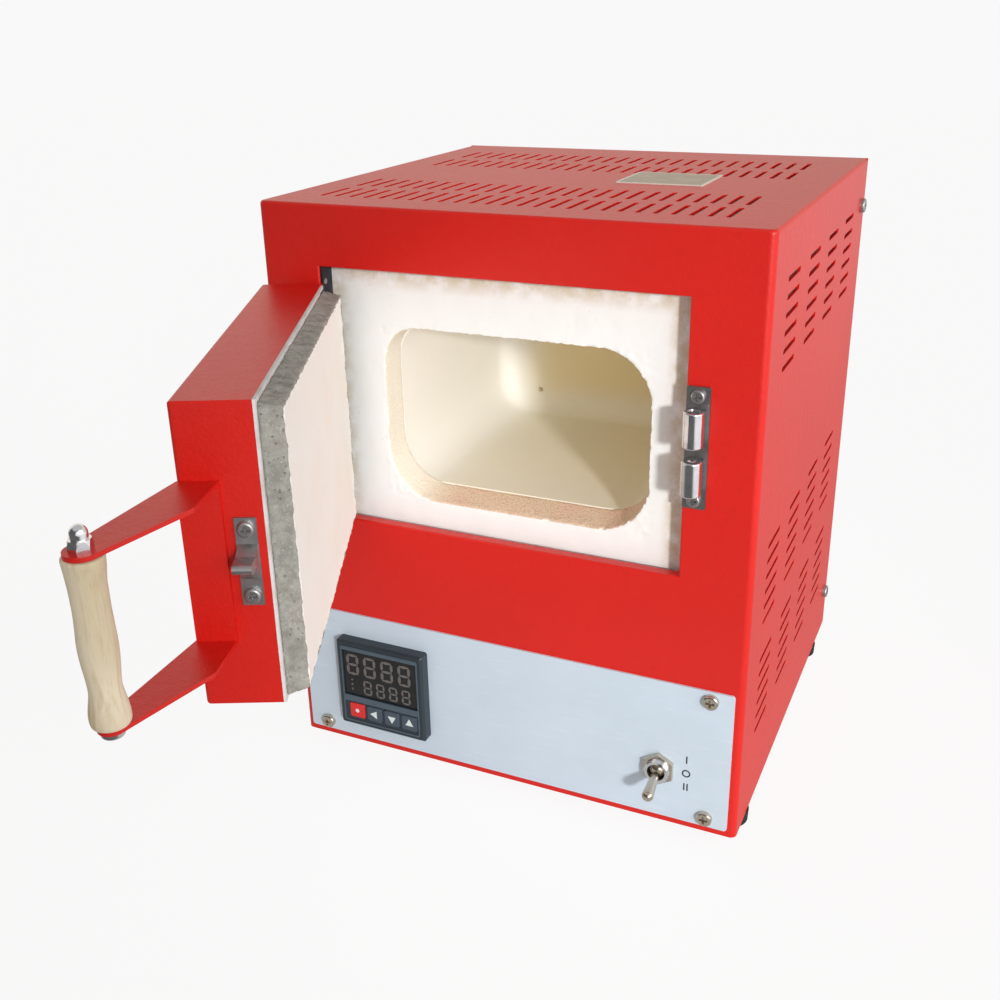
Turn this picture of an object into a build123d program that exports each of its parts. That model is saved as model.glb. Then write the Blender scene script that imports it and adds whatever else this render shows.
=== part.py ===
from build123d import *
import math
import os

# A bench-top kiln for jewellery work: a folded steel case round a fibre muffle, a side-hinged
# door with a wooden handle, and a temperature controller and a toggle switch on a front plate.
# Millimetres. X runs to the right, Y to the back and Z up. The origin lies on the surface that
# the feet stand on, under the middle of the whole kiln with its door open at door_rest_angle.
# Depths are measured from the outside of the front sheet, heights from the case's lower edge and
# drops from its top. A taller case gets a taller opening, door and chamber over the same controls.

# ---- case ----
case_width = 232.0
case_depth = 220.0
case_height = 278.0
sheet = 1.2
corner_bend = 3.0
top_bend = 1.6
bottom_flange = 12.0
base_plate_thickness = 1.5
foot_height = 6.0
foot_radius = 9.5
foot_taper = 0.3
foot_reach = 0.8
foot_inset_front = 23.0
foot_inset_back = 30.0
fit_gap = 0.15
cutout_corner = 1.0
foot_well = 3.3
foot_well_gap = 0.8
foot_edge_round = 0.4
foot_screw_grip = 3.0
# a cutter runs this far past what it cuts
past = 1.0

# ---- door opening in the front sheet ----
opening_left = -86.5
opening_right = 84.0
opening_top_drop = 27.6
opening_low = 128.8
opening_lip = 5.0
recess_depth = 9.0

# ---- vent slots ----
slot_length = 24.0
slot_width = 2.2
slot_pitch = 7.5
top_slot_count = 26
top_slot_shift = -2.0
top_row_depths = (33.0, 64.5, 143.0, 177.0)
side_row_count = 6
side_column_depths = (39.0, 84.0, 129.0, 174.0)
side_group_heights = (41.5, 99.0)
side_upper_group_drop = 61.5
back_slot_count = 14
back_row_low = 160.0
back_row_drop = 38.0

# ---- chamber and its lining ----
hole_width = 127.0
hole_low = 140.5
hole_corner = 24.0
hole_small_corner = 17.0
hole_x = 3.2
hole_top_drop = 54.5
brick_thickness = 15.0
floor_rise = 4.0
chamber_back_space = 79.0
chamber_corner = 18.0
muffle_wall = 16.0
muffle_back_wall = 12.0
wire_space = 4.5
wire_radius = 1.6
wire_turns = 9
wire_bend = 8.0
wire_stand_off = 0.3
wire_front_margin = 10.0
wire_back_margin = 8.0
liner_side_space = 12.0
liner_low = 104.0
liner_top_drop = 16.0
liner_back_space = 31.0
liner_sheet = 0.8
lead_hole_radius = 4.0
probe_radius = 1.2
probe_x = -39.0
probe_z = 156.0
probe_reach = 1.0
probe_head_length = 14.0
probe_head_width = 20.0
probe_head_round = 3.0
shelf_back_space = 20.0
shelf_flange = 14.0

# ---- control plate ----
plate_side_margin = 4.0
plate_low = 3.5
plate_high = 76.0
plate_thickness = 1.0
plate_corner = 1.5
plate_screw_inset = 10.5
plate_screw_low = 8.3
plate_screw_high = 71.2

# ---- controller, 1/16 DIN ----
bezel_size = 49.0
bezel_proud = 6.2
bezel_x = -65.0
bezel_z = 38.8
bezel_edge = 1.4
housing_size = 44.6
housing_depth = 80.0
housing_corner = 0.8
window_width = 42.0
window_height = 26.0
window_rise = 6.6
window_sink = 0.6
window_thickness = 1.0
window_gap = 0.05
clamp_width = 56.0
clamp_depth = 12.0
clamp_gap = 0.3
button_width = 8.6
button_height = 8.2
button_drop = 15.0
button_pitch = 10.05
button_first = -14.1
button_proud = 0.5
button_flange = 0.5
button_flange_thickness = 1.0
button_travel = 0.6
button_stop_gap = 0.1
button_corner = 1.0
button_edge_round = 0.4

# ---- toggle switch ----
toggle_x = 78.9
toggle_z = 30.0
toggle_radius = 5.9
toggle_reach = 4.8
toggle_bore = 4.2
toggle_mouth_chamfer = 0.5
toggle_nut_flat = 14.0
toggle_nut_thickness = 2.6
toggle_nut_chamfer = 0.2
toggle_body_width = 16.0
toggle_body_height = 28.0
toggle_body_depth = 22.0
toggle_body_corner = 1.0
toggle_pivot_out = 0.5
toggle_ball_gap = 0.08
toggle_tail_spacing = 8.4
lever_length = 16.2
lever_neck = 1.5
lever_tip = 2.7
lever_rest_angle = 17.0

# ---- door ----
door_rest_angle = 65.0
hinge_x = -85.1
hinge_stand_off = 2.2
knuckle_radius = 1.9
pin_radius = 1.0
pin_clearance = 0.05
knuckle_count = 5
knuckle_gap = 0.3
hinge_leaf = 1.0
door_leaf_width = 12.0
rivet_radius = 1.25
door_width = 164.1
door_low = 130.4
door_top_drop = 35.1
door_thickness = 27.4
door_sheet = 1.2
door_bend = 1.6
hinge_rebate = 2.3
gasket_thickness = 1.0
gasket_width = 5.0
gasket_gap = 0.2
slab_thickness = 8.0
slab_margin = 1.5
slab_hinge_margin = 4.4
slab_taper = 2.0
cement_width = 1.6
door_pad_margin = 8.0

# ---- handle ----
bracket_width = 14.0
bracket_sheet = 1.6
bracket_low_gap = 24.6
bracket_top_gap = 27.4
bolt_u = 212.5
bolt_n = 40.8
upper_arm_end_radius = 5.6
lower_arm_end_radius = 4.6
arm_root_length = 22.0
arm_root_rise = 3.0
grip_top_radius = 6.8
grip_neck_radius = 5.65
grip_belly_radius = 6.15
grip_waist_radius = 5.0
grip_foot_radius = 6.6
bolt_radius = 2.0
bolt_head_radius = 3.8
bolt_head_height = 2.4
nut_flat = 6.6
nut_height = 3.6
dome_radius = 2.7
nut_total = 8.0

# ---- ball catch and its strike ----
catch_x = 89.4
catch_below_middle = 1.0
catch_plate_width = 9.8
catch_plate_height = 52.8
catch_plate_thickness = 1.5
catch_plate_corner = 0.8
barrel_edge_round = 0.7
catch_axis_stand_off = 7.6
barrel_radius = 4.25
barrel_bore = 2.9
barrel_length = 15.2
barrel_gap = 5.8
saddle_inset = 1.0
ball_radius = 2.8
ball_show = 0.6
ball_seat_gap = 0.06
catch_screw_spacing = 45.0
spring_wire = 0.3
spring_radius = 1.9
spring_coils = 5
spring_gap = 0.05
adjuster_length = 4.0
adjuster_gap = 0.02
adjuster_sink = 0.4
adjuster_slot = 0.7
adjuster_slot_depth = 1.2
strike_width = 7.4
strike_height = 32.4
strike_sheet = 1.0
strike_drop = 2.4
strike_screw_spacing = 24.6
nose_reach = 13.0
nose_thickness = 3.6
nose_base = 14.0
nose_width = 6.6

# ---- fasteners ----
m4_radius = 2.0
m4_head_radius = 3.7
m4_head_height = 2.4
m3_radius = 1.5
m3_head_radius = 2.9
m3_head_height = 1.8
screw_gap = 0.15
sheet_screw_length = 8.0
catch_screw_length = 6.0
back_screw_inset = 10.0
back_screw_low = 26.0
back_screw_drop = 23.0

# ---- parts on the top and the back ----
label_width = 42.5
label_depth = 37.0
label_thickness = 0.4
label_corner = 1.0
label_x = 39.5
label_y = 115.5
inlet_x = -68.0
inlet_z = 34.0
inlet_flange_width = 50.0
inlet_flange_height = 24.0
inlet_body_width = 27.6
inlet_body_height = 20.0
inlet_depth = 24.0
inlet_screw_spacing = 40.0
inlet_flange_thickness = 2.5
inlet_flange_corner = 5.0
inlet_wall = 1.8
inlet_well = 15.0
inlet_well_chamfer = 4.0
blade_places = ((-7.0, -2.0), (0.0, 2.0), (7.0, -2.0))
blade_width = 2.0
blade_height = 4.0
blade_sink = 2.0
tail_width = 4.8
tail_thickness = 0.8
fuse_x = -14.0
fuse_radius = 6.2
fuse_cap_radius = 8.0
fuse_cap_height = 6.0
fuse_depth = 32.0
fuse_slot_width = 2.0
fuse_slot_depth = 1.0
fuse_cap_round = 1.0

# ---- equipment on the base plate ----
relay_width = 45.0
relay_length = 58.0
relay_height = 23.0
relay_corner = 3.0
relay_screw_spacing = 47.6
relay_screw_seat = 6.9
relay_well_gap = 1.5
relay_x = 40.0
relay_depth = 135.0
sink_thickness = 4.0
sink_margin = 6.0
block_x = -30.0
block_back_space = 70.0
block_width = 34.0
block_length = 18.0
block_height = 16.0
block_screw_spacing = 26.0
block_screw_seat = 5.0
block_well_gap = 0.4
block_way_width = 4.0
block_way_pitch = 6.8
block_way_floor = 8.8
loom_radius = 1.3
loom_bend = 6.0
wire_run_height = 66.0
wire_bay = 14.0
blade_tail = 7.0
toggle_tail = 8.0
controller_wire_offset = 8.0

# ---- worked out from the sizes above ----
half_width = case_width / 2
liner_half_width = half_width - liner_side_space
plate_width = case_width - 2 * plate_side_margin
plate_screw_x = plate_width / 2 - plate_screw_inset
rest_turn = math.radians(door_rest_angle)
handle_reach = hinge_stand_off + bolt_u * math.sin(rest_turn) + bolt_n * math.cos(rest_turn) + grip_top_radius
front = (handle_reach - case_depth - fuse_cap_height) / 2
back = front + case_depth
inside_x = half_width - sheet
plate_face = front - plate_thickness
bezel_face = plate_face - bezel_proud
hinge_y = front - hinge_stand_off
opening_high = case_height - opening_top_drop
hole_high = case_height - hole_top_drop
hole_height = hole_high - hole_low
hole_z = (hole_low + hole_high) / 2
liner_high = case_height - liner_top_drop
door_high = case_height - door_top_drop
bracket_low = door_low + bracket_low_gap
bracket_high = door_high - bracket_top_gap
catch_z = (opening_low + opening_high) / 2 - catch_below_middle
back_row_heights = (back_row_low, case_height - back_row_drop)
back_screw_heights = (back_screw_low, case_height - back_screw_drop)
chamber_depth = case_depth - chamber_back_space
liner_depth = case_depth - liner_back_space
shelf_depth = case_depth - shelf_back_space
block_depth = case_depth - block_back_space
chamber_low = hole_low + floor_rise
brick_back = recess_depth + brick_thickness
muffle_back = chamber_depth + muffle_back_wall
pin_low = door_low + door_sheet + knuckle_gap
pin_high = door_high - door_sheet - knuckle_gap
# the door's own frame: u runs from the hinge pin to the free edge, n outwards
door_edge_u = door_width - knuckle_radius
door_rim_n = hinge_leaf - knuckle_radius
door_face_n = door_rim_n + door_thickness
catch_y = front - catch_axis_stand_off
strike_n = hinge_y - catch_y
base_top = foot_height + sheet + base_plate_thickness
window_face = bezel_face + window_sink
window_back = window_face + window_thickness
button_pocket = button_flange_thickness + button_travel + 2 * button_stop_gap
button_back = plate_face - button_travel - button_stop_gap
toggle_mouth = plate_face - toggle_reach
barrel_end = barrel_gap / 2 + barrel_length
adjuster_start = barrel_end - adjuster_length
ball_along = barrel_gap / 2 - ball_show + ball_radius
strike_z = catch_z - strike_drop

LOW_CORNER = (Align.MIN, Align.MIN, Align.MIN)
ON_BASE = (Align.CENTER, Align.CENTER, Align.MIN)


def deep(depth):
    """The Y of a depth behind the outside of the front sheet."""
    return front + depth


def up(height):
    """The Z of a height above the case's lower edge."""
    return foot_height + height


def block(x0, x1, y0, y1, z0, z1):
    """A box between two corners."""
    return Pos(x0, y0, z0) * Box(x1 - x0, y1 - y0, z1 - z0, align=LOW_CORNER)


def panel_block(x, height, width, tall, y0, y1):
    """A box along Y, centred on x and on a height above the case's lower edge."""
    half = width / 2
    return block(x - half, x + half, y0, y1, up(height) - tall / 2, up(height) + tall / 2)


def rod(radius, start, end):
    """A round bar from one point to another."""
    line = Vector(*end) - Vector(*start)
    return Plane(origin=start, z_dir=line) * Cylinder(radius, line.length, align=ON_BASE)


def x_rod(radius, y, height, x0, x1):
    """A round bar along X at a height above the case's lower edge."""
    return rod(radius, (x0, y, up(height)), (x1, y, up(height)))


def y_rod(radius, x, height, y0, y1):
    """A round bar along Y at a height above the case's lower edge."""
    return rod(radius, (x, y0, up(height)), (x, y1, up(height)))


def z_rod(radius, x, y, z0, z1):
    """An upright round bar."""
    return rod(radius, (x, y, z0), (x, y, z1))


def cone(radius, end_radius, start, end):
    """A tapered round bar from one point to another."""
    line = Vector(*end) - Vector(*start)
    return Plane(origin=start, z_dir=line) * Cone(radius, end_radius, line.length, align=ON_BASE)


def round_bar(radius, bend, points):
    """A bar along straight runs that are joined by round bends."""
    line = FilletPolyline(*points, radius=bend)
    start = Plane(origin=line @ 0, z_dir=line % 0)
    return sweep(start * Circle(radius), path=line)


def hexagon(flat, start, end):
    """A hexagonal bar, measured across its flats."""
    line = Vector(*end) - Vector(*start)
    outline = RegularPolygon(flat / 2, 6, major_radius=False)
    return extrude(Plane(origin=start, z_dir=line) * outline, line.length)


def round_prism(width, height, corner, x, z, y0, y1):
    """A bar along Y with a rounded rectangle for its section, centred on x and z."""
    outline = Plane(origin=(x, y0, z), x_dir=(1, 0, 0), z_dir=(0, 1, 0)) * RectangleRounded(
        width, height, corner
    )
    return extrude(outline, y1 - y0)


def screw(radius, head_radius, head_height, length, seat, direction):
    """A pan-head screw with a cross recess; the shank runs from seat along direction."""
    way = Vector(*direction)
    seat = Vector(*seat)
    top = seat - way * head_height
    shank = rod(radius, seat, seat + way * length)
    head = rod(head_radius, seat, top)
    rim = head.edges().sort_by_distance(top)[0]
    head = fillet(rim, head_height * 0.45)
    recess_plane = Plane(origin=top, z_dir=way)
    arm = Box(head_radius * 1.1, head_radius * 0.3, head_height * 0.7, align=ON_BASE)
    return shank + head - recess_plane * arm - recess_plane * Rot(0, 0, 90) * arm


def m4(length, seat, direction):
    return screw(m4_radius, m4_head_radius, m4_head_height, length, seat, direction)


def m3(length, seat, direction):
    return screw(m3_radius, m3_head_radius, m3_head_height, length, seat, direction)


def group(solids):
    """Separate solids kept in one node."""
    return Compound(children=list(solids))


def hang(shape):
    """Moves a piece from the closed door's own frame to the open door at rest."""
    return Pos(hinge_x, hinge_y, 0) * Rot(0, 0, -door_rest_angle) * shape


def door_block(u0, u1, n0, n1, height0, height1):
    """A box in the door's own frame."""
    return block(u0, u1, -n1, -n0, up(height0), up(height1))


def slots_along(shape, places):
    """Copies of one slot cutter."""
    return [Pos(*place) * shape for place in places]


# ---- places that several pieces share ----
plate_screw_places = [
    (x, z) for x in (-plate_screw_x, plate_screw_x) for z in (plate_screw_low, plate_screw_high)
]
foot_x = half_width + foot_reach - foot_radius
foot_places = [
    (x, y)
    for x in (-foot_x, foot_x)
    for y in (deep(foot_inset_front), back - foot_inset_back)
]
catch_screw_places = [
    catch_z - catch_screw_spacing / 2,
    catch_z + catch_screw_spacing / 2,
]
lead_y = (deep(brick_back + wire_front_margin), deep(muffle_back - wire_back_margin))
lead_x = hole_x - hole_width / 2 - muffle_wall - wire_stand_off - wire_radius
button_names = ("set", "left", "down", "up")
button_x = [bezel_x + button_first + button_pitch * i for i in range(4)]
button_z = bezel_z - button_drop
window_z = bezel_z + window_rise
inlet_screw_x = (inlet_x - inlet_screw_spacing / 2, inlet_x + inlet_screw_spacing / 2)
relay_screw_y = [deep(relay_depth) + side * relay_screw_spacing / 2 for side in (-1, 1)]
block_screw_x = [block_x + side * block_screw_spacing / 2 for side in (-1, 1)]


def vent_cutters():
    """Every slot of the top and the two sides."""
    along_y = SlotOverall(slot_length, slot_width, rotation=90)
    top_slot = extrude(along_y, sheet * 2, both=True)
    top_span = slot_pitch * (top_slot_count - 1)
    top_places = [
        (top_slot_shift - top_span / 2 + slot_pitch * i, deep(depth), up(case_height))
        for i in range(top_slot_count)
        for depth in top_row_depths
    ]
    side_slot = Rot(0, 90, 0) * top_slot
    side_places = [
        (side * half_width, deep(depth), up(low + slot_pitch * i))
        for side in (-1, 1)
        for depth in side_column_depths
        for low in (*side_group_heights, case_height - side_upper_group_drop)
        for i in range(side_row_count)
    ]
    return slots_along(top_slot, top_places) + slots_along(side_slot, side_places)


def make_outer_case():
    """Front, sides and top, folded from one sheet, with the door opening's turned-in edges."""
    outer = block(-half_width, half_width, front, back, up(0), up(case_height))
    uprights = outer.edges().filter_by(Axis.Z).sort_by(Axis.Y)[:2]
    outer = fillet(uprights, corner_bend)
    outer = fillet(outer.faces().sort_by(Axis.Z)[-1].edges(), top_bend)
    inner = block(-inside_x, inside_x, deep(sheet), back + past, up(sheet), up(case_height - sheet))
    uprights = inner.edges().filter_by(Axis.Z).sort_by(Axis.Y)[:2]
    inner = fillet(uprights, corner_bend - sheet)
    square_back = block(-half_width, half_width, back - top_bend, back, up(0), up(case_height))
    case = (outer + square_back) - inner
    edge = bottom_flange
    case -= block(-half_width + edge, half_width - edge, deep(edge), back + past, up(-past), up(sheet + past))
    lip = block(opening_left - sheet, opening_right + sheet, front, deep(opening_lip),
                up(opening_low - sheet), up(opening_high + sheet))
    hole = block(opening_left, opening_right, deep(-past), deep(opening_lip + past),
                 up(opening_low), up(opening_high))
    case = case + lip - hole
    at_front = case.faces().filter_by(Axis.Y).sort_by(Axis.Y)[0]
    case = fillet(at_front.inner_wires()[0].edges(), sheet * 0.7)
    return case - vent_cutters() - front_cutters() - side_cutters()


def front_cutters():
    """The holes of the front sheet: for the controller, the switch and the screws."""
    start = deep(-past)
    end = deep(sheet + past)
    cuts = [controller_cutter(start, end), y_rod(toggle_radius + fit_gap, toggle_x, toggle_z, start, end)]
    cuts += [y_rod(m4_radius + screw_gap, x, z, start, end) for x, z in plate_screw_places]
    cuts += [y_rod(m3_radius + screw_gap, catch_x, z, start, end) for z in catch_screw_places]
    return cuts


def controller_cutter(y0, y1):
    opening = housing_size + 2 * fit_gap
    return round_prism(opening, opening, cutout_corner, bezel_x, up(bezel_z), y0, y1)


def side_cutters():
    """The holes for the back panel's screws, the feet's screws and the hinge strip's rivets."""
    cuts = []
    for side in (-1, 1):
        for z in back_screw_heights:
            start = side * (half_width + past)
            end = side * (inside_x - past)
            cuts.append(x_rod(m4_radius + screw_gap, back - back_screw_inset, z, start, end))
    for x, y in foot_places:
        cuts.append(z_rod(m4_radius + screw_gap, x, y, up(-past), up(sheet + past)))
    for z in leaf_rivet_heights():
        start = opening_left - sheet - past
        cuts.append(x_rod(rivet_radius, leaf_rivet_y(), z, start, opening_left + past))
    return cuts


def make_back_panel():
    """A tray let in between the sides, with vents, the inlet's cut-out and the fuse's hole."""
    half = inside_x - fit_gap
    low = sheet + base_plate_thickness + fit_gap
    high = case_height - sheet - fit_gap
    rim = back - back_screw_inset * 2
    tray = block(-half, half, rim, back, up(low), up(high))
    tray -= block(-half + sheet, half - sheet, rim - past, back - sheet, up(low - past), up(high - sheet))
    span = slot_pitch * 2 * (back_slot_count - 1)
    upright_slot = SlotOverall(slot_length, slot_width, rotation=90)
    cuts = slots_along(extrude(Plane.XZ * upright_slot, sheet * 2, both=True), [
        (-span / 2 + slot_pitch * 2 * i, back - sheet / 2, up(height))
        for i in range(back_slot_count)
        for height in back_row_heights
    ])
    start = back - sheet - past
    end = back + past
    width = inlet_body_width + 2 * fit_gap
    cuts.append(panel_block(inlet_x, inlet_z, width, inlet_body_height + 2 * fit_gap, start, end))
    cuts += [y_rod(m3_radius + screw_gap, x, inlet_z, start, end) for x in inlet_screw_x]
    cuts.append(y_rod(fuse_radius + fit_gap, fuse_x, inlet_z, start, end))
    for side in (-1, 1):
        for z in back_screw_heights:
            outside = side * (half + past)
            inside = side * (half - sheet - past)
            cuts.append(x_rod(m4_radius + screw_gap, back - back_screw_inset, z, outside, inside))
    return tray - cuts


def make_base_plate():
    """The floor of the case; it lies on the case's turned-in lower edges."""
    half = inside_x - fit_gap
    plate = block(-half, half, deep(sheet + fit_gap), back - sheet, up(sheet), base_top)
    plate = fillet(plate.edges().filter_by(Axis.Z).sort_by(Axis.Y)[:2], corner_bend - sheet)
    holes = [z_rod(m4_radius + screw_gap, x, y, up(0), base_top + past) for x, y in foot_places]
    holes += [z_rod(m3_radius + screw_gap, x, y, up(0), base_top + past) for x, y in equipment_screw_places()]
    return plate - holes


def make_rubber_feet():
    """Four round feet, each with a well for its screw's head."""
    foot = Cone(foot_radius - foot_taper, foot_radius, foot_height, align=ON_BASE)
    foot -= Cylinder(m4_head_radius + foot_well_gap, foot_well, align=ON_BASE)
    foot -= Cylinder(m4_radius + screw_gap, foot_height, align=ON_BASE)
    foot = fillet(foot.edges().filter_by(GeomType.CIRCLE).sort_by(Axis.Z)[-1:], foot_edge_round)
    return group(Pos(x, y, 0) * foot for x, y in foot_places)


def make_foot_screws():
    length = base_top - foot_well + foot_screw_grip
    return group(m4(length, (x, y, foot_well), (0, 0, 1)) for x, y in foot_places)


def make_back_panel_screws():
    y = back - back_screw_inset
    return group(
        m4(sheet_screw_length, (side * half_width, y, up(z)), (-side, 0, 0))
        for side in (-1, 1)
        for z in back_screw_heights
    )


def make_control_plate():
    """The pale plate under the door, with the controller's and the switch's cut-outs."""
    middle = (plate_low + plate_high) / 2
    plate = round_prism(plate_width, plate_high - plate_low, plate_corner, 0, up(middle), plate_face, front)
    start = plate_face - past
    end = front + past
    cuts = [controller_cutter(start, end), y_rod(toggle_radius + fit_gap, toggle_x, toggle_z, start, end)]
    cuts += [y_rod(m4_radius + screw_gap, x, z, start, end) for x, z in plate_screw_places]
    return plate - cuts


def make_control_plate_screws():
    return group(m4(sheet_screw_length, (x, plate_face, up(z)), (0, 1, 0)) for x, z in plate_screw_places)


def make_top_label():
    place = Pos(label_x, deep(label_y), up(case_height))
    return extrude(place * RectangleRounded(label_width, label_depth, label_corner), label_thickness)


def lined_block(x_half, y0, y1, low, high):
    return block(-x_half, x_half, deep(y0), deep(y1), up(low), up(high))


def make_front_brick():
    """The white board behind the door opening, with the chamber's rounded mouth."""
    inner = liner_half_width - liner_sheet
    brick = lined_block(inner, recess_depth, brick_back, liner_low + liner_sheet, liner_high - liner_sheet)
    outline = Rectangle(hole_width, hole_height)
    corners = sorted(outline.vertices(), key=lambda corner: corner.X - corner.Y)
    outline = fillet(corners[1:], hole_corner)
    upper_left = min(outline.vertices(), key=lambda corner: corner.X - corner.Y)
    outline = fillet(upper_left, hole_small_corner)
    start = (hole_x, deep(brick_back + past), up(hole_z))
    mouth_plane = Plane(origin=start, x_dir=(1, 0, 0), z_dir=(0, -1, 0))
    return brick - extrude(mouth_plane * outline, brick_thickness + 2 * past)


def round_the_chamber(margin, corner, y0, y1):
    """A rounded bar along the chamber's axis, larger than the chamber by margin all round."""
    width = hole_width + 2 * margin
    height = hole_high - chamber_low + 2 * margin
    middle = (hole_high + chamber_low) / 2
    return round_prism(width, height, corner, hole_x, up(middle), deep(y0), deep(y1))


def make_muffle():
    """The smooth fibre muffle, closed at the back."""
    outside = round_the_chamber(muffle_wall, wire_bend - wire_radius, brick_back, muffle_back)
    space = round_the_chamber(0, chamber_corner, brick_back - past, chamber_depth)
    back_rim = space.faces().sort_by(Axis.Y)[-1].edges()
    space = fillet(back_rim, chamber_corner * 0.5)
    probe = y_rod(probe_radius + fit_gap, probe_x, probe_z, deep(chamber_depth / 2), deep(muffle_back + past))
    return outside - space - probe


def make_insulation():
    """Fibre packing between the muffle and the liner, with room for the element's turns."""
    inner = liner_half_width - liner_sheet
    packing = lined_block(inner, brick_back, liner_depth - liner_sheet,
                          liner_low + liner_sheet, liner_high - liner_sheet)
    packing -= round_the_chamber(muffle_wall + wire_space, wire_bend, brick_back - past, muffle_back)
    probe_start = deep(muffle_back - past)
    packing -= y_rod(probe_radius + fit_gap, probe_x, probe_z, probe_start, deep(liner_depth))
    for y in lead_y:
        packing -= z_rod(lead_hole_radius, lead_x, y, up(liner_low), up(chamber_low - muffle_wall))
    return packing


def make_liner():
    """The inner steel box that holds the brick and the packing."""
    box = lined_block(liner_half_width, sheet, liner_depth, liner_low, liner_high)
    inner = liner_half_width - liner_sheet
    inner_back = liner_depth - liner_sheet
    box -= lined_block(inner, 0, inner_back, liner_low + liner_sheet, liner_high - liner_sheet)
    probe_start = deep(inner_back - past)
    box -= y_rod(probe_radius + fit_gap, probe_x, probe_z, probe_start, deep(liner_depth + past))
    for y in lead_y:
        box -= z_rod(lead_hole_radius, lead_x, y, up(liner_low - past), up(liner_low + liner_sheet + past))
    return box


def make_shelf():
    """The heat shield between the chamber and the electrical space; its flanges meet the sides."""
    low = liner_low - shelf_flange
    half = inside_x - sheet
    shelf = block(-inside_x, inside_x, deep(sheet), deep(shelf_depth), up(low), up(liner_low))
    end = deep(shelf_depth + past)
    shelf -= block(-half, half, deep(sheet * 2), end, up(low - past), up(liner_low - sheet))
    uprights = shelf.edges().filter_by(Axis.Z).group_by(Axis.Y)[0]
    shelf = fillet(uprights.sort_by(Axis.X)[0:1] + uprights.sort_by(Axis.X)[-1:], corner_bend - sheet)
    for y in lead_y:
        shelf -= z_rod(lead_hole_radius, lead_x, y, up(liner_low - sheet - past), up(liner_low + past))
    return shelf


def make_heating_element():
    """Resistance wire wound square round the muffle, with a straight lead down from each end."""
    gap = muffle_wall + wire_stand_off + wire_radius
    right = hole_x + hole_width / 2 + gap
    low = up(chamber_low - gap)
    high = up(hole_high + gap)
    lead_end = up(liner_low - shelf_flange)
    corners = ((lead_x, high), (right, high), (right, low), (lead_x, low))
    steps = 4 * wire_turns
    pitch = (lead_y[1] - lead_y[0]) / (steps - 1)
    points = [(lead_x, lead_y[0], lead_end)]
    for i in range(steps):
        x, z = corners[i % 4]
        points.append((x, lead_y[0] + pitch * i, z))
    points.append((lead_x, lead_y[1], lead_end))
    return round_bar(wire_radius, wire_bend, points)


def make_thermocouple():
    """A ceramic sheath through the muffle's back wall, with its head behind the liner."""
    head_start = deep(liner_depth)
    sheath = y_rod(probe_radius, probe_x, probe_z, deep(chamber_depth - probe_reach), head_start)
    tip = sheath.edges().filter_by(GeomType.CIRCLE).sort_by(Axis.Y)[0]
    sheath = fillet(tip, probe_radius * 0.6)
    head_end = head_start + probe_head_length
    head = panel_block(probe_x, probe_z, probe_head_width, probe_head_width, head_start, head_end)
    return sheath + fillet(head.edges().filter_by(Axis.Y), probe_head_round)


# ---- hinge ----
def knuckle_spans(first):
    """The heights of every other knuckle along the pin, from the first on."""
    step = (pin_high - pin_low + knuckle_gap) / knuckle_count
    return [
        (pin_low + step * i, pin_low + step * (i + 1) - knuckle_gap) for i in range(first, knuckle_count, 2)
    ]


def make_body_leaf():
    """A bare steel strip on the opening's left edge, rolled round the pin in three places."""
    x0 = opening_left
    x1 = opening_left + hinge_leaf
    leaf = block(x0, x1, deep(sheet * 0.9), deep(recess_depth), up(opening_low), up(opening_high))
    for low, high in knuckle_spans(0):
        leaf += block(x0, x1, hinge_y, deep(recess_depth), up(low), up(high))
        leaf += Pos(hinge_x, hinge_y, up(low)) * Cylinder(knuckle_radius, high - low, align=ON_BASE)
    leaf -= Pos(hinge_x, hinge_y, 0) * Cylinder(pin_radius + pin_clearance, up(case_height), align=ON_BASE)
    for z in leaf_rivet_heights():
        leaf -= x_rod(rivet_radius, leaf_rivet_y(), z, x0 - past, x1 + past)
    return leaf


def leaf_rivet_heights():
    span = opening_high - opening_low
    return [opening_low + span * share for share in (0.06, 0.5, 0.94)]


def leaf_rivet_y():
    return deep(opening_lip * 0.72)


def make_hinge_rivets():
    """Flush rivets through the strip and the opening's turned-in edge."""
    y = leaf_rivet_y()
    x = opening_left
    return group(x_rod(rivet_radius, y, z, x - sheet, x + hinge_leaf) for z in leaf_rivet_heights())


def make_door_leaf():
    """The leaf on the door's rim, rolled round the pin between the strip's knuckles."""
    leaf = door_block(hinge_rebate, door_leaf_width, -knuckle_radius, door_rim_n, pin_low, pin_high)
    for low, high in knuckle_spans(1):
        leaf += door_block(0, hinge_rebate + past, -knuckle_radius, door_rim_n, low, high)
        leaf += Pos(0, 0, up(low)) * Cylinder(knuckle_radius, high - low, align=ON_BASE)
    leaf -= Cylinder(pin_radius + pin_clearance, up(case_height), align=ON_BASE)
    return hang(leaf)


def make_hinge_pin():
    return z_rod(pin_radius, hinge_x, hinge_y, up(pin_low), up(pin_high))


# ---- door ----
def make_door_shell():
    """A folded steel box, open towards the kiln, rebated for the hinge's knuckles."""
    wall = door_sheet
    low = door_low + wall
    high = door_high - wall
    u1 = door_edge_u
    open_n = door_rim_n - past
    shell = door_block(-knuckle_radius, u1, door_rim_n, door_face_n, door_low, door_high)
    shell = fillet(shell.faces().sort_by(Axis.Y)[0].edges(), door_bend)
    hollow = door_block(-knuckle_radius + wall, u1 - wall, open_n, door_face_n - wall, low, high)
    step = hinge_rebate + wall
    hollow -= door_block(-knuckle_radius, step, open_n, step, door_low, door_high)
    rebate = door_block(-knuckle_radius - past, hinge_rebate, open_n, hinge_rebate, low, high)
    shell = shell - hollow - rebate
    for z in strike_screw_heights():
        shell -= x_rod(m3_radius + screw_gap, -strike_n, z, u1 - wall - past, u1 + past)
    return hang(shell)


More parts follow.
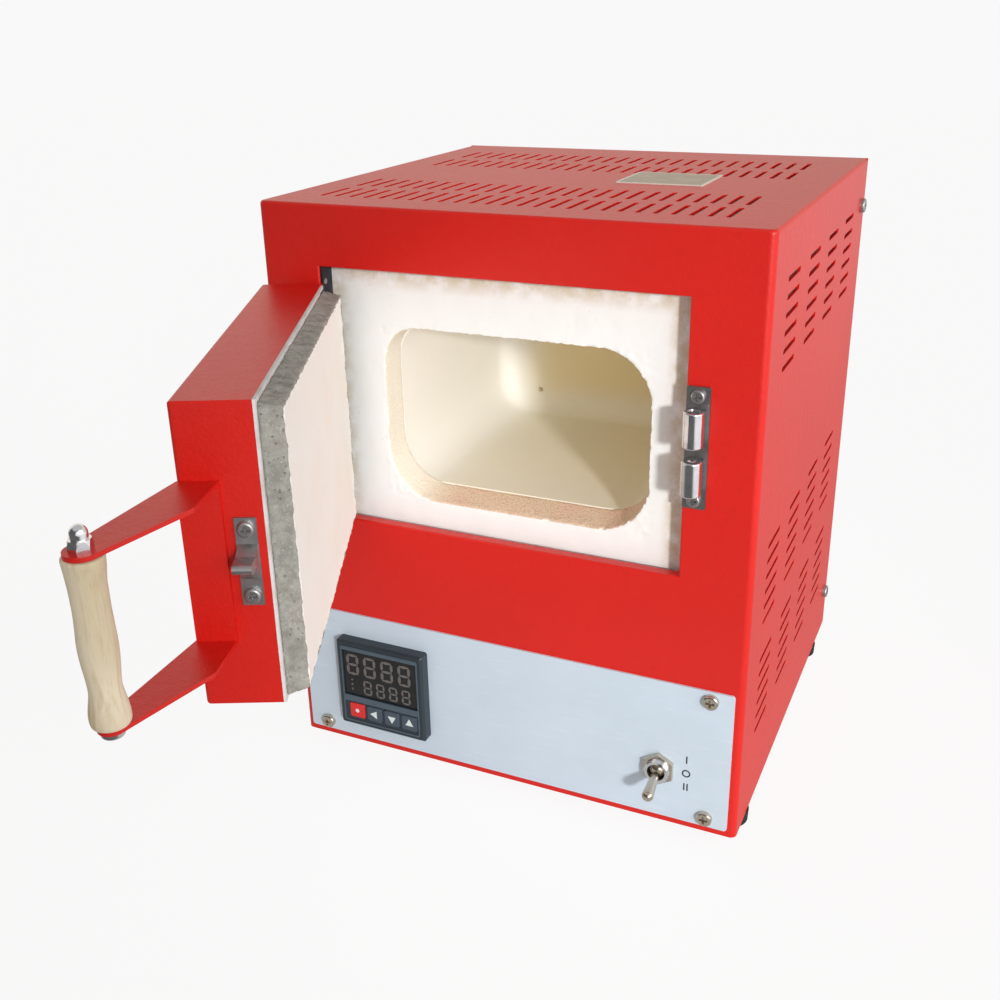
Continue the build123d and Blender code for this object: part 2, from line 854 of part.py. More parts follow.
def make_door_gasket():
    """A thin white strip round the door's rim, cut out for the hinge's leaf."""
    low_n = door_rim_n - gasket_thickness
    start = low_n - past
    end = door_rim_n + past
    width = gasket_width
    ring = door_block(hinge_rebate + gasket_gap, door_edge_u, low_n, door_rim_n, door_low, door_high)
    u1 = door_edge_u - width
    ring -= door_block(hinge_rebate + width, u1, start, end, door_low + width, door_high - width)
    ring -= door_block(0, door_leaf_width + fit_gap, start, end, pin_low - fit_gap, pin_high + fit_gap)
    return hang(ring)


def slab_outline(inset):
    """The tapered slab, smaller by inset all round."""
    start = gasket_thickness - door_rim_n
    width = door_edge_u - slab_margin - slab_hinge_margin - 2 * inset
    height = door_high - door_low - 2 * (slab_margin + inset)
    middle = Pos((slab_hinge_margin + door_edge_u - slab_margin) / 2, start, up((door_low + door_high) / 2))
    near = middle * Rot(90, 0, 0) * Rectangle(width, height)
    narrow = Rectangle(width - 2 * slab_taper, height - 2 * slab_taper)
    far = middle * Pos(0, slab_thickness, 0) * Rot(90, 0, 0) * narrow
    return loft([near.face(), far.face()])


def make_door_slab():
    """The pale fibre board that closes the chamber's mouth."""
    return hang(slab_outline(cement_width))


def make_slab_edge():
    """Grey cement round the board's four sides."""
    return hang(slab_outline(0) - slab_outline(cement_width))


def make_door_insulation():
    wall = door_sheet + fit_gap
    u1 = door_edge_u - wall - door_pad_margin
    n1 = door_face_n - wall
    return hang(door_block(hinge_rebate + wall, u1, door_rim_n, n1, door_low + wall, door_high - wall))


# ---- handle ----
def arm_outline(end_radius):
    """One arm from above: straight off the door's edge, then slanting outwards to the bolt."""
    u0 = door_edge_u
    n1 = door_face_n
    n0 = n1 - bracket_width
    away = Vector(bolt_u - u0 - arm_root_length, bolt_n - n0 - arm_root_rise).normalized()
    across = Vector(-away.Y, away.X) * end_radius
    bolt = Vector(bolt_u, bolt_n)
    outer_end = bolt + across
    inner_end = bolt - across
    root = (u0 + arm_root_length, n0 + arm_root_rise)
    edge = Polyline((u0, n1), (u0, n0), root, inner_end)
    edge += ThreePointArc(inner_end, bolt + away * end_radius, outer_end)
    edge += Line(outer_end, (u0, n1))
    return make_face(edge)


def make_handle_bracket():
    """A strip folded to a U: its web lies on the door's free edge, its arms hold the grip."""
    start = door_edge_u
    n0 = door_face_n - bracket_width
    web = door_block(start, start + bracket_sheet, n0, door_face_n, bracket_low, bracket_high)
    upper, lower = (
        Pos(0, 0, up(low)) * extrude(mirror(arm_outline(end_radius), Plane.XZ), bracket_sheet, dir=(0, 0, 1))
        for end_radius, low in (
            (upper_arm_end_radius, bracket_high - bracket_sheet), (lower_arm_end_radius, bracket_low)
        )
    )
    hole = Pos(bolt_u, -bolt_n, 0) * Cylinder(bolt_radius + fit_gap, up(case_height), align=ON_BASE)
    return hang(web + upper + lower - hole)


def make_handle_grip():
    """A turned wooden grip with a neck under its top end, a belly and a waist."""
    low = bracket_low + bracket_sheet
    high = bracket_high - bracket_sheet
    length = high - low
    profile = [
        (grip_top_radius * 0.88, high),
        (grip_top_radius, high - length * 0.06),
        (grip_neck_radius, high - length * 0.28),
        (grip_belly_radius, high - length * 0.52),
        (grip_waist_radius, high - length * 0.80),
        (grip_foot_radius, low + length * 0.05),
        (grip_foot_radius * 0.9, low),
    ]
    side = Spline(*[(r, 0, up(z)) for r, z in profile])
    bore = bolt_radius + fit_gap
    top_line = Line((profile[0][0], 0, up(high)), (bore, 0, up(high)))
    inner = Line((bore, 0, up(high)), (bore, 0, up(low)))
    end = Line((bore, 0, up(low)), (profile[-1][0], 0, up(low)))
    section = make_face(side + top_line + inner + end)
    return hang(Pos(bolt_u, -bolt_n, 0) * revolve(section, Axis.Z))


def make_handle_bolt():
    """The bolt up through both arms and the grip, with its head below."""
    low = up(bracket_low)
    high = up(bracket_high)
    head = Cylinder(bolt_head_radius, bolt_head_height, align=ON_BASE)
    head = fillet(head.edges().filter_by(GeomType.CIRCLE).sort_by(Axis.Z)[0], bolt_head_height * 0.45)
    bolt = Pos(0, 0, low - bolt_head_height) * head
    bolt += Pos(0, 0, low) * Cylinder(bolt_radius, high - low + nut_height, align=ON_BASE)
    return hang(Pos(bolt_u, -bolt_n, 0) * bolt)


def make_acorn_nut():
    """The domed nut on the bolt's upper end."""
    base = extrude(RegularPolygon(nut_flat / 2, 6, major_radius=False), nut_height)
    collar = Pos(0, 0, nut_height) * Cylinder(dome_radius, nut_total - nut_height - dome_radius, align=ON_BASE)
    dome = Pos(0, 0, nut_total - dome_radius) * Sphere(dome_radius)
    skirt = Cone(nut_flat * 0.62, nut_flat * 0.36, nut_height * 2.4, align=ON_BASE)
    above_base = Pos(0, 0, nut_height) * Cylinder(nut_flat, nut_total, align=ON_BASE)
    nut = (base & skirt) + collar + (dome & above_base)
    nut -= Cylinder(bolt_radius, nut_height, align=ON_BASE)
    return hang(Pos(bolt_u, -bolt_n, up(bracket_high)) * nut)


# ---- strike, on the door's free edge ----
def strike_screw_heights():
    return [strike_z - strike_screw_spacing / 2, strike_z + strike_screw_spacing / 2]


def make_strike():
    """A small plate with a nose that stands out to pass between the catch's balls."""
    u0 = door_edge_u
    foot_u = u0 + strike_sheet / 2
    half = strike_width / 2
    low = strike_z - strike_height / 2
    plate = door_block(u0, u0 + strike_sheet, strike_n - half, strike_n + half, low, low + strike_height)
    middle = up(catch_z)
    thick = nose_thickness / 2
    reach = u0 + nose_reach
    neck = reach - nose_reach * 0.55
    base_low = up(strike_z) - nose_base / 2
    base_high = up(strike_z) + nose_base / 2
    outline = Polyline((foot_u, base_low), (neck, middle - thick), (reach - thick, middle - thick))
    outline += ThreePointArc((reach - thick, middle - thick), (reach, middle), (reach - thick, middle + thick))
    upper_side = [(reach - thick, middle + thick), (neck, middle + thick), (foot_u, base_high)]
    outline += Polyline(*upper_side, (foot_u, base_low))
    start = (0, -strike_n + nose_width / 2, 0)
    side = Plane(origin=start, x_dir=(1, 0, 0), z_dir=(0, -1, 0)) * make_face(outline)
    strike = plate + extrude(side, nose_width)
    for z in strike_screw_heights():
        strike -= x_rod(m3_radius + screw_gap, -strike_n, z, u0 - past, u0 + strike_sheet + past)
    return hang(strike)


def make_strike_screws():
    u0 = door_edge_u + strike_sheet
    heights = strike_screw_heights()
    return hang(group(m3(catch_screw_length, (u0, -strike_n, up(z)), (-1, 0, 0)) for z in heights))


# ---- catch, on the front sheet ----
def make_catch_plate():
    """The catch's plate, with a saddle for each barrel."""
    face = deep(-catch_plate_thickness)
    plate = panel_block(catch_x, catch_z, catch_plate_width, catch_plate_height, face, front)
    plate = fillet(plate.edges().filter_by(Axis.Y), catch_plate_corner)
    saddle = barrel_radius * 0.8
    near = barrel_gap / 2 + saddle_inset
    far = barrel_end - saddle_inset
    for side in (-1, 1):
        z0, z1 = sorted((up(catch_z) + side * near, up(catch_z) + side * far))
        plate += block(catch_x - saddle, catch_x + saddle, catch_y, face, z0, z1)
        plate -= z_rod(barrel_radius, catch_x, catch_y, z0 - past, z1 + past)
    for z in catch_screw_places:
        plate -= y_rod(m3_radius + screw_gap, catch_x, z, face - past, front + past)
    return plate


def barrel_point(side, along):
    """A point on the catch's axis, so far from its middle."""
    return (catch_x, catch_y, up(catch_z) + side * along)


def make_barrel(side):
    """One bored barrel; the mouth is drawn in to keep its ball."""
    barrel = rod(barrel_radius, barrel_point(side, barrel_gap / 2), barrel_point(side, barrel_end))
    barrel = fillet(barrel.edges().filter_by(GeomType.CIRCLE), barrel_edge_round)
    barrel -= rod(barrel_bore, barrel_point(side, ball_along), barrel_point(side, barrel_end + past))
    return barrel - Pos(*barrel_point(side, ball_along)) * Sphere(ball_radius + ball_seat_gap)


def make_ball(side):
    return Pos(*barrel_point(side, ball_along)) * Sphere(ball_radius)


def make_catch_spring(side):
    """A small coil behind a ball, seated on its adjuster."""
    height = adjuster_start - ball_along - ball_radius - spring_gap - 2 * spring_wire
    coil = Helix(pitch=height / spring_coils, height=height, radius=spring_radius)
    start = Plane(origin=coil @ 0, z_dir=coil % 0)
    spring = sweep(start * Circle(spring_wire), path=coil, is_frenet=True)
    seat = Plane(origin=barrel_point(side, adjuster_start), z_dir=(0, 0, -side))
    return seat * Pos(0, 0, spring_wire) * spring


def make_catch_adjusters():
    """Slotted screws that close the barrels and set the springs."""
    screws = []
    for side in (-1, 1):
        end = barrel_point(side, barrel_end - adjuster_sink)
        plug = rod(barrel_bore - adjuster_gap, barrel_point(side, adjuster_start), end)
        slot = Box(barrel_bore * 3, adjuster_slot, adjuster_slot_depth, align=ON_BASE)
        screws.append(plug - Plane(origin=end, z_dir=(0, 0, -side)) * slot)
    return group(screws)


def make_catch_screws():
    y = deep(-catch_plate_thickness)
    return group(m3(catch_screw_length, (catch_x, y, up(z)), (0, 1, 0)) for z in catch_screw_places)


# ---- controller ----
def make_bezel():
    """The square front frame, with the window's recess and a hole for each button."""
    bezel = panel_block(bezel_x, bezel_z, bezel_size, bezel_size, bezel_face, plate_face)
    bezel = fillet(bezel.edges().filter_by(Axis.Y), bezel_edge)
    front_rim = bezel.faces().sort_by(Axis.Y)[0].edges()
    bezel = chamfer(front_rim, bezel_edge * 0.8)
    start = bezel_face - past
    end = plate_face + past
    cuts = [panel_block(bezel_x, window_z, window_width, window_height, start, window_back)]
    width = button_width + 2 * fit_gap
    height = button_height + 2 * fit_gap
    cuts += [panel_block(x, button_z, width, height, start, end) for x in button_x]
    row_middle = (button_x[0] + button_x[-1]) / 2
    row_width = button_x[-1] - button_x[0] + width + 2 * button_flange
    pocket_height = height + 2 * button_flange
    pocket_start = plate_face - button_pocket
    cuts.append(panel_block(row_middle, button_z, row_width, pocket_height, pocket_start, end))
    return bezel - cuts


def make_window():
    width = window_width - 2 * window_gap
    height = window_height - 2 * window_gap
    return panel_block(bezel_x, window_z, width, height, window_face, window_back)


def make_button(index):
    """A button with the flange that keeps it behind the bezel."""
    x = button_x[index]
    cap = panel_block(x, button_z, button_width, button_height, bezel_face - button_proud, button_back)
    cap = fillet(cap.edges().filter_by(Axis.Y), button_corner)
    cap = fillet(cap.faces().sort_by(Axis.Y)[0].edges(), button_edge_round)
    width = button_width + 2 * button_flange
    height = button_height + 2 * button_flange
    start = button_back - button_flange_thickness
    return cap + panel_block(x, button_z, width, height, start, button_back)


def make_housing():
    end = deep(housing_depth)
    housing = panel_block(bezel_x, bezel_z, housing_size, housing_size, plate_face, end)
    return fillet(housing.edges().filter_by(Axis.Y), housing_corner)


def make_clamp():
    """The collar that holds the controller against the front sheet from behind."""
    half = clamp_width / 2
    start = deep(sheet)
    end = start + clamp_depth
    hole = housing_size + 2 * clamp_gap
    collar = block(bezel_x - half, bezel_x + half, start, end, base_top + clamp_gap, up(bezel_z) + half)
    return collar - panel_block(bezel_x, bezel_z, hole, hole, front, end + past)


# ---- toggle switch ----
def make_toggle_body():
    """The switch's body behind the sheet, with its three tails."""
    start = deep(sheet)
    end = start + toggle_body_depth
    body = panel_block(toggle_x, toggle_z, toggle_body_width, toggle_body_height, start, end)
    body = fillet(body.edges().filter_by(Axis.Y), toggle_body_corner)
    for i in (-1, 0, 1):
        z = toggle_z + i * toggle_tail_spacing
        body += panel_block(toggle_x, z, tail_width, tail_thickness, end, end + toggle_tail)
    return body - y_rod(toggle_bore, toggle_x, toggle_z, front, start + toggle_bore)


def make_toggle_bushing():
    """The bored neck that the lever stands in; the nut draws it against the plate."""
    bushing = y_rod(toggle_radius, toggle_x, toggle_z, toggle_mouth, deep(sheet))
    mouth_rim = bushing.edges().filter_by(GeomType.CIRCLE).sort_by(Axis.Y)[0]
    bushing = chamfer(mouth_rim, toggle_mouth_chamfer)
    return bushing - y_rod(toggle_bore, toggle_x, toggle_z, toggle_mouth - past, deep(sheet))


def make_toggle_nut():
    start = (toggle_x, plate_face, up(toggle_z))
    end = (toggle_x, plate_face - toggle_nut_thickness, up(toggle_z))
    chamfer_end = (toggle_x, end[1] - toggle_nut_chamfer, up(toggle_z))
    skirt = cone(toggle_nut_flat * 0.75, toggle_nut_flat * 0.56, start, chamfer_end)
    nut = hexagon(toggle_nut_flat, start, end) & skirt
    return nut - y_rod(toggle_radius, toggle_x, toggle_z, front, end[1] - past)


def make_toggle_lever():
    """A bat lever on a ball that turns in the bushing; at rest it points down."""
    pivot = (toggle_x, plate_face - toggle_pivot_out, up(toggle_z))
    ball = Pos(*pivot) * Sphere(toggle_bore - toggle_ball_gap)
    down = math.radians(lever_rest_angle)
    tip = (toggle_x, pivot[1] - lever_length * math.cos(down), pivot[2] - lever_length * math.sin(down))
    return ball + cone(lever_neck, lever_tip, pivot, tip) + Pos(*tip) * Sphere(lever_tip)


# ---- electrical parts inside and on the back ----
def make_power_inlet():
    """A three-blade inlet with a flange on the back panel."""
    rim = back + inlet_flange_thickness
    flange = panel_block(inlet_x, inlet_z, inlet_flange_width, inlet_flange_height, back, rim)
    flange = fillet(flange.edges().filter_by(Axis.Y), inlet_flange_corner)
    body_end = back - inlet_depth
    inlet = flange + panel_block(inlet_x, inlet_z, inlet_body_width, inlet_body_height, body_end, back)
    well_width = inlet_body_width - 2 * inlet_wall
    well_height = inlet_body_height - 2 * inlet_wall
    well_end = back - inlet_well
    well = panel_block(inlet_x, inlet_z, well_width, well_height, well_end, rim + past)
    inlet -= chamfer(well.edges().filter_by(Axis.Y).group_by(Axis.Z)[-1], inlet_well_chamfer)
    for x, z in blade_places:
        blade_x = inlet_x + x
        blade_z = inlet_z + z
        inlet += panel_block(blade_x, blade_z, blade_width, blade_height, well_end - past, back - blade_sink)
        tail_end = body_end - blade_tail
        inlet += panel_block(blade_x, blade_z, tail_thickness, tail_width, tail_end, body_end + past)
    for x in inlet_screw_x:
        inlet -= y_rod(m3_radius + screw_gap, x, inlet_z, back - past, rim + past)
    return inlet


def make_fuse_holder():
    """A fuse holder whose slotted cap stands out of the back panel."""
    cap_end = back + fuse_cap_height
    body = y_rod(fuse_radius, fuse_x, inlet_z, back - fuse_depth, back)
    cap = y_rod(fuse_cap_radius, fuse_x, inlet_z, back, cap_end)
    cap = fillet(cap.edges().filter_by(GeomType.CIRCLE).sort_by(Axis.Y)[-1], fuse_cap_round)
    slot_length_across = fuse_cap_radius * 1.5
    slot_start = cap_end - fuse_slot_depth
    slot = panel_block(fuse_x, inlet_z, fuse_slot_width, slot_length_across, slot_start, cap_end + past)
    return body + cap - slot


def equipment_screw_places():
    """Where the relay's plate and the terminal block are screwed to the base plate."""
    return [(relay_x, y) for y in relay_screw_y] + [(x, deep(block_depth)) for x in block_screw_x]


def make_relay():
    """A solid-state relay on its aluminium cooling plate."""
    half = relay_width / 2
    long = relay_length / 2
    y = deep(relay_depth)
    low = base_top + sink_thickness
    high = low + relay_height
    relay = block(relay_x - half, relay_x + half, y - long, y + long, low, high)
    relay = fillet(relay.edges().filter_by(Axis.Z), relay_corner)
    for place in relay_screw_y:
        relay -= z_rod(m3_head_radius + relay_well_gap, relay_x, place, low + relay_screw_seat, high + past)
        relay -= z_rod(m3_radius + screw_gap, relay_x, place, low - past, high)
    return relay


def make_cooling_plate():
    half = relay_width / 2 + sink_margin
    long = relay_length / 2 + sink_margin
    y = deep(relay_depth)
    top = base_top + sink_thickness
    plate = block(relay_x - half, relay_x + half, y - long, y + long, base_top, top)
    for place in relay_screw_y:
        plate -= z_rod(m3_radius + screw_gap, relay_x, place, base_top - past, top + past)
    return plate


def make_terminal_block():
    """A terminal strip with three wire ways between its two screws."""
    half = block_width / 2
    long = block_length / 2
    y = deep(block_depth)
    top = base_top + block_height
    seat = base_top + block_screw_seat
    strip = block(block_x - half, block_x + half, y - long, y + long, base_top, top)
    for x in block_screw_x:
        strip -= z_rod(m3_head_radius + block_well_gap, x, y, seat, top + past)
        strip -= z_rod(m3_radius + screw_gap, x, y, base_top - past, seat + past)
    way = block_way_width / 2
    floor = base_top + block_way_floor
    for i in (-1, 0, 1):
        x = block_x + i * block_way_pitch
        strip -= block(x - way, x + way, y - long - past, y + long + past, floor, top + past)
    return strip


def make_equipment_screws():
    """The screws of the relay, the terminal block and the inlet."""
    relay_seat = base_top + sink_thickness + relay_screw_seat
    block_seat = base_top + block_screw_seat
    screws = [m3(relay_seat - up(0), (relay_x, y, relay_seat), (0, 0, -1)) for y in relay_screw_y]
    screws += [m3(block_seat - up(0), (x, deep(block_depth), block_seat), (0, 0, -1)) for x in block_screw_x]
    inlet_seat = back + inlet_flange_thickness
    screws += [m3(sheet_screw_length, (x, inlet_seat, up(inlet_z)), (0, -1, 0)) for x in inlet_screw_x]
    return group(screws)


def wire(*points):
    """An insulated wire on a route of straight runs and round bends."""
    return round_bar(loom_radius, loom_bend, points)


def make_wiring():
    """The internal wires: mains to the switch and the controller, and feeds to the element."""
    inlet_end = back - inlet_depth - blade_tail
    fuse_end = back - fuse_depth
    switch_end = deep(sheet + toggle_body_depth + toggle_tail)
    block_end = deep(block_depth) - block_length / 2
    relay_end = deep(relay_depth) - relay_length / 2
    block_z = base_top + block_height * 0.8
    relay_z = base_top + sink_thickness + relay_height * 0.7
    controller_low = up(bezel_z - controller_wire_offset)
    controller_high = up(bezel_z + controller_wire_offset)
    shelf_low = up(liner_low - shelf_flange)
    run_z = up(wire_run_height)
    bay_y = deep(housing_depth) + wire_bay
    blade_x = inlet_x + blade_places[0][0]
    blade_z = up(inlet_z + blade_places[0][1])
    routes = [
        [
            (blade_x, inlet_end, blade_z),
            (blade_x, inlet_end - wire_bay, blade_z),
            (blade_x, inlet_end - wire_bay, run_z),
            (blade_x, bay_y, run_z),
            (blade_x, bay_y, controller_high),
            (blade_x, deep(housing_depth), controller_high),
        ],
        [
            (fuse_x, fuse_end, up(inlet_z)),
            (fuse_x, fuse_end - wire_bay, up(inlet_z)),
            (fuse_x, fuse_end - wire_bay, run_z),
            (toggle_x, fuse_end - wire_bay, run_z),
            (toggle_x, switch_end + wire_bay, run_z),
            (toggle_x, switch_end + wire_bay, up(toggle_z)),
            (toggle_x, switch_end, up(toggle_z)),
        ],
        [
            (relay_x, relay_end, relay_z),
            (relay_x, relay_end - wire_bay, relay_z),
            (relay_x, relay_end - wire_bay, controller_low),
            (bezel_x + controller_wire_offset, relay_end - wire_bay, controller_low),
            (bezel_x + controller_wire_offset, deep(housing_depth), controller_low),
        ],
    ]
    for side, y in zip((-1, 1), lead_y):
        x = block_x + side * block_way_pitch
        drop = run_z + (1 + side) * wire_bay / 2
        routes.append([
            (lead_x, y, shelf_low),
            (lead_x, y, drop),
            (x, y, drop),
            (x, block_end - wire_bay, drop),
            (x, block_end - wire_bay, block_z),
            (x, block_end, block_z),
        ])
    return group(wire(*points) for points in routes)


NODES = {
    "outer_case": make_outer_case,
    "back_panel": make_back_panel,
    "base_plate": make_base_plate,
    "rubber_feet": make_rubber_feet,
    "foot_screws": make_foot_screws,
    "back_panel_screws": make_back_panel_screws,
    "control_plate": make_control_plate,
    "control_plate_screws": make_control_plate_screws,
    "top_label": make_top_label,
    "front_brick": make_front_brick,
    "chamber_muffle": make_muffle,
    "muffle_insulation": make_insulation,
    "heating_element": make_heating_element,
    "thermocouple": make_thermocouple,
    "chamber_liner": make_liner,
    "heat_shield_shelf": make_shelf,
    "hinge_case_leaf": make_body_leaf,
    "hinge_pin": make_hinge_pin,
    "hinge_rivets": make_hinge_rivets,
    "controller_bezel": make_bezel,
    "controller_window": make_window,
    "controller_housing": make_housing,
    "controller_clamp": make_clamp,
    "toggle_body": make_toggle_body,
    "toggle_bushing": make_toggle_bushing,
    "toggle_nut": make_toggle_nut,
    "toggle_lever": make_toggle_lever,
    "catch_plate": make_catch_plate,
    "catch_barrel_upper": lambda: make_barrel(1),
    "catch_barrel_lower": lambda: make_barrel(-1),
    "catch_ball_upper": lambda: make_ball(1),
    "catch_ball_lower": lambda: make_ball(-1),
    "catch_spring_upper": lambda: make_catch_spring(1),
    "catch_spring_lower": lambda: make_catch_spring(-1),
    "catch_adjusters": make_catch_adjusters,
    "catch_screws": make_catch_screws,
    "power_inlet": make_power_inlet,
    "fuse_holder": make_fuse_holder,
    "power_relay": make_relay,
    "cooling_plate": make_cooling_plate,
    "terminal_block": make_terminal_block,
    "equipment_screws": make_equipment_screws,
    "internal_wiring": make_wiring,
    "door_shell": make_door_shell,
    "door_gasket": make_door_gasket,
    "door_slab": make_door_slab,
    "slab_cement_edge": make_slab_edge,
    "door_insulation": make_door_insulation,
    "hinge_door_leaf": make_door_leaf,
    "handle_bracket": make_handle_bracket,
    "handle_grip": make_handle_grip,
    "handle_bolt": make_handle_bolt,
    "handle_nut": make_acorn_nut,
    "strike_plate": make_strike,
    "strike_screws": make_strike_screws,
}
for button_index, button_name in enumerate(button_names):
    NODES[button_name + "_button"] = lambda index=button_index: make_button(index)

os.makedirs("parts", exist_ok=True)
for node_name, maker in NODES.items():
    export_step(maker(), "parts/" + node_name + ".step")
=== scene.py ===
import math
from contextlib import contextmanager
from functools import cache

import bmesh
import bpy
from bpy.props import FloatProperty, FloatVectorProperty, PointerProperty
from mathutils import Matrix, Vector


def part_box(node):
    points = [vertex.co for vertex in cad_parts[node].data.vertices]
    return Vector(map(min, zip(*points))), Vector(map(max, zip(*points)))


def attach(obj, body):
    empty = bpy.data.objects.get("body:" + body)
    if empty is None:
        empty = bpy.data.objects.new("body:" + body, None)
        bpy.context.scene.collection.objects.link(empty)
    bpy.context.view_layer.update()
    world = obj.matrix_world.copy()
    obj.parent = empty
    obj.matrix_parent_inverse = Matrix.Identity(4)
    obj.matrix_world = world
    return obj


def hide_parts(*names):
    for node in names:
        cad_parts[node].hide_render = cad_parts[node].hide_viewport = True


bl_info = {
    "name": "Bench kiln dressing",
    "version": (1, 0, 0),
    "blender": (4, 5, 0),
    "location": "View3D > Sidebar > Kiln",
    "description": "Finishes and detail pieces for a small bench kiln, set on its packed model",
    "category": "Add Mesh",
}

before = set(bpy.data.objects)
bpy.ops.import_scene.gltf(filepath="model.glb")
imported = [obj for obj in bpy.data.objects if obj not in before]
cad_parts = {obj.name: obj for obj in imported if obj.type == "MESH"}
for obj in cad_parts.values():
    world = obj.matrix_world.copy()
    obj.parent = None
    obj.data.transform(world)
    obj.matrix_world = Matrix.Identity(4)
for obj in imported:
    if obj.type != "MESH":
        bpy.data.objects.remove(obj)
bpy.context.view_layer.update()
mm = 0.001
FACING_FRONT = (math.pi / 2, 0, 0)  # turns a flat piece so that it faces -Y

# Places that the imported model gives, in metres.
BOARD_LOW, BOARD_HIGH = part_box("front_brick")
BEZEL_LOW, BEZEL_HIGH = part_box("controller_bezel")
WINDOW_LOW, WINDOW_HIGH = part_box("controller_window")
PLATE_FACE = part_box("control_plate")[0].y
LABEL_LOW, LABEL_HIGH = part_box("top_label")
BUSHING_LOW, BUSHING_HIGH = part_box("toggle_bushing")
GRIP_LOW, GRIP_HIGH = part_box("handle_grip")
PIN_LOW, PIN_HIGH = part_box("hinge_pin")
KEYS = ("set", "left", "down", "up")


def middle_of(low, high):
    return (low + high) / 2


def paint(red, green, blue):
    """A colour given as it looks on a screen, 0 to 255, as Blender's linear colour."""
    shares = (red / 255, green / 255, blue / 255)
    return (*(c / 12.92 if c <= 0.04045 else ((c + 0.055) / 1.055) ** 2.4 for c in shares), 1.0)


# ---- sizes and colours that a user would change ----
def number(name, default, description, **settings):
    return FloatProperty(name=name, default=default, description=description, **settings)


def length(name, default, description):
    """A length whose default is given in millimetres."""
    return number(name, default * mm, description, unit="LENGTH", precision=5)


def colour(name, rgb, description):
    return FloatVectorProperty(
        name=name, default=paint(*rgb), description=description, subtype="COLOR", size=4, min=0, max=1
    )


class KilnSizes(bpy.types.PropertyGroup):
    mouth_corner: length("Mouth corner", 24, "Radius of three corners of the chamber's mouth")
    mouth_small_corner: length("Small corner", 17, "Radius of the mouth's upper left corner")
    mouth_width: length("Mouth width", 127, "Width of the chamber's mouth")
    mouth_height: length("Mouth height", 83, "Height of the chamber's mouth")
    mouth_x: length("Mouth centre", 3.2, "How far right of the case's middle the mouth lies")
    mouth_z: length("Mouth height above floor", 188, "Height of the mouth's middle")
    floor_rise: length("Floor rise", 4, "How far the chamber's floor lies above the mouth's lower edge")
    mouth_wear: length("Mouth wear", 1.3, "Depth of the chips along the mouth's edge")
    board_grain: length("Board grain", 1.1, "Fineness of the boards' meshes")
    skim_grain: length("Cement grain", 0.6, "Fineness of the cement skim's mesh")
    skim_lump: length("Cement lump", 1.1, "Height of the lumps in the cement skim")
    skim_thickness: length("Cement thickness", 1.7, "Thickness of the cement round the door's board")
    slab_taper: length("Slab taper", 2, "How much the slab's sides lean in")
    digit_height: length("Digit height", 12.0, "Height of the upper row of digits")
    small_digit_height: length("Small digit height", 8.4, "Height of the lower row of digits")
    mark_height: length("Mark height", 4.0, "Height of the switch's position marks")
    thread_pitch: length("Thread pitch", 0.75, "Pitch of the switch bushing's thread")


class KilnColours(bpy.types.PropertyGroup):
    red: colour("Case paint", (219, 26, 14), "Textured red paint of the case, door and handle")
    plate: colour("Control plate", (206, 221, 234), "Pale plate that carries the controls")
    board: colour("Front board", (252, 252, 250), "White fibre board round the mouth")
    lip: colour("Mouth lip", (246, 208, 184), "Sawn inner edge of the front board")
    # The lining's own colour; where light falls, on the left wall and the floor, it is painted white.
    chamber: colour("Chamber", (252, 235, 192), "Smooth lining of the chamber, tanned by heat")
    cement: colour("Cement", (156, 154, 147), "Grey cement round the door's board")
    wood: colour("Wood", (240, 226, 200), "Turned grip")
    steel: colour("Plated steel", (205, 205, 205), "Catch, strike and most screws")
    chrome: colour("Chrome", (236, 236, 239), "Barrels of the catch and the handle's nut")
    nickel: colour("Nickel", (210, 200, 184), "Switch and the control plate's screws")
    casing: colour("Controller casing", (42, 54, 62), "Controller's frame")
    fascia: colour("Controller fascia", (76, 92, 104), "Strip round the controller's window")
    key_red: colour("Red key", (226, 44, 44), "Controller's first key")
    key_grey: colour("Grey keys", (70, 84, 98), "Controller's other keys")


class KilnStage(bpy.types.PropertyGroup):
    floor_size: length("Floor size", 8000, "Side of the floor")
    key_power: number("Key lamp", 137.0, "Watts of the lamp that draws shadows")
    key_width: number("Key beam", math.radians(15.6), "Angle of the key lamp's beam", subtype="ANGLE")
    key_radius: length("Key radius", 110, "Radius of the key lamp, which softens its shadows")
    side_power: number("Side lamp", 1.12, "Strength of the wide lamp on the right")
    fill_power: number("Fill", 0.44, "Light from all round")


# ---- modelling helpers ----
def deselect():
    if bpy.context.object and bpy.context.object.mode != "OBJECT":
        bpy.ops.object.mode_set(mode="OBJECT")
    bpy.ops.object.select_all(action="DESELECT")


def pick(*pieces):
    """Selects these pieces alone; the first is the active one."""
    deselect()
    for piece in pieces:
        piece.select_set(True)
    bpy.context.view_layer.objects.active = pieces[0]


@contextmanager
def editing(piece, kind="FACE"):
    """Edit mode with nothing of the mesh selected."""
    pick(piece)
    bpy.ops.object.mode_set(mode="EDIT")
    bpy.ops.mesh.select_mode(type=kind)
    bpy.ops.mesh.select_all(action="DESELECT")
    yield
    bpy.ops.object.mode_set(mode="OBJECT")


def choose(piece, parts, test):
    """Selects the faces or edges whose middle and way, a normal or a direction, pass the test."""
    mesh = bmesh.from_edit_mesh(piece.data)
    for part in getattr(mesh, parts):
        points = [v.co for v in part.verts]
        way = part.normal if parts == "faces" else (points[1] - points[0]).normalized()
        part.select_set(bool(test(sum(points, Vector()) / len(points), way)))
    mesh.select_flush_mode()
    bmesh.update_edit_mesh(piece.data)


def settle(piece):
    """Puts the piece's place into its mesh and leaves its object at the origin."""
    pick(piece)
    bpy.ops.object.transform_apply(location=True, rotation=True, scale=True)
    return piece


def named(name):
    piece = bpy.context.object
    piece.name = name
    piece.data.name = name
    return piece


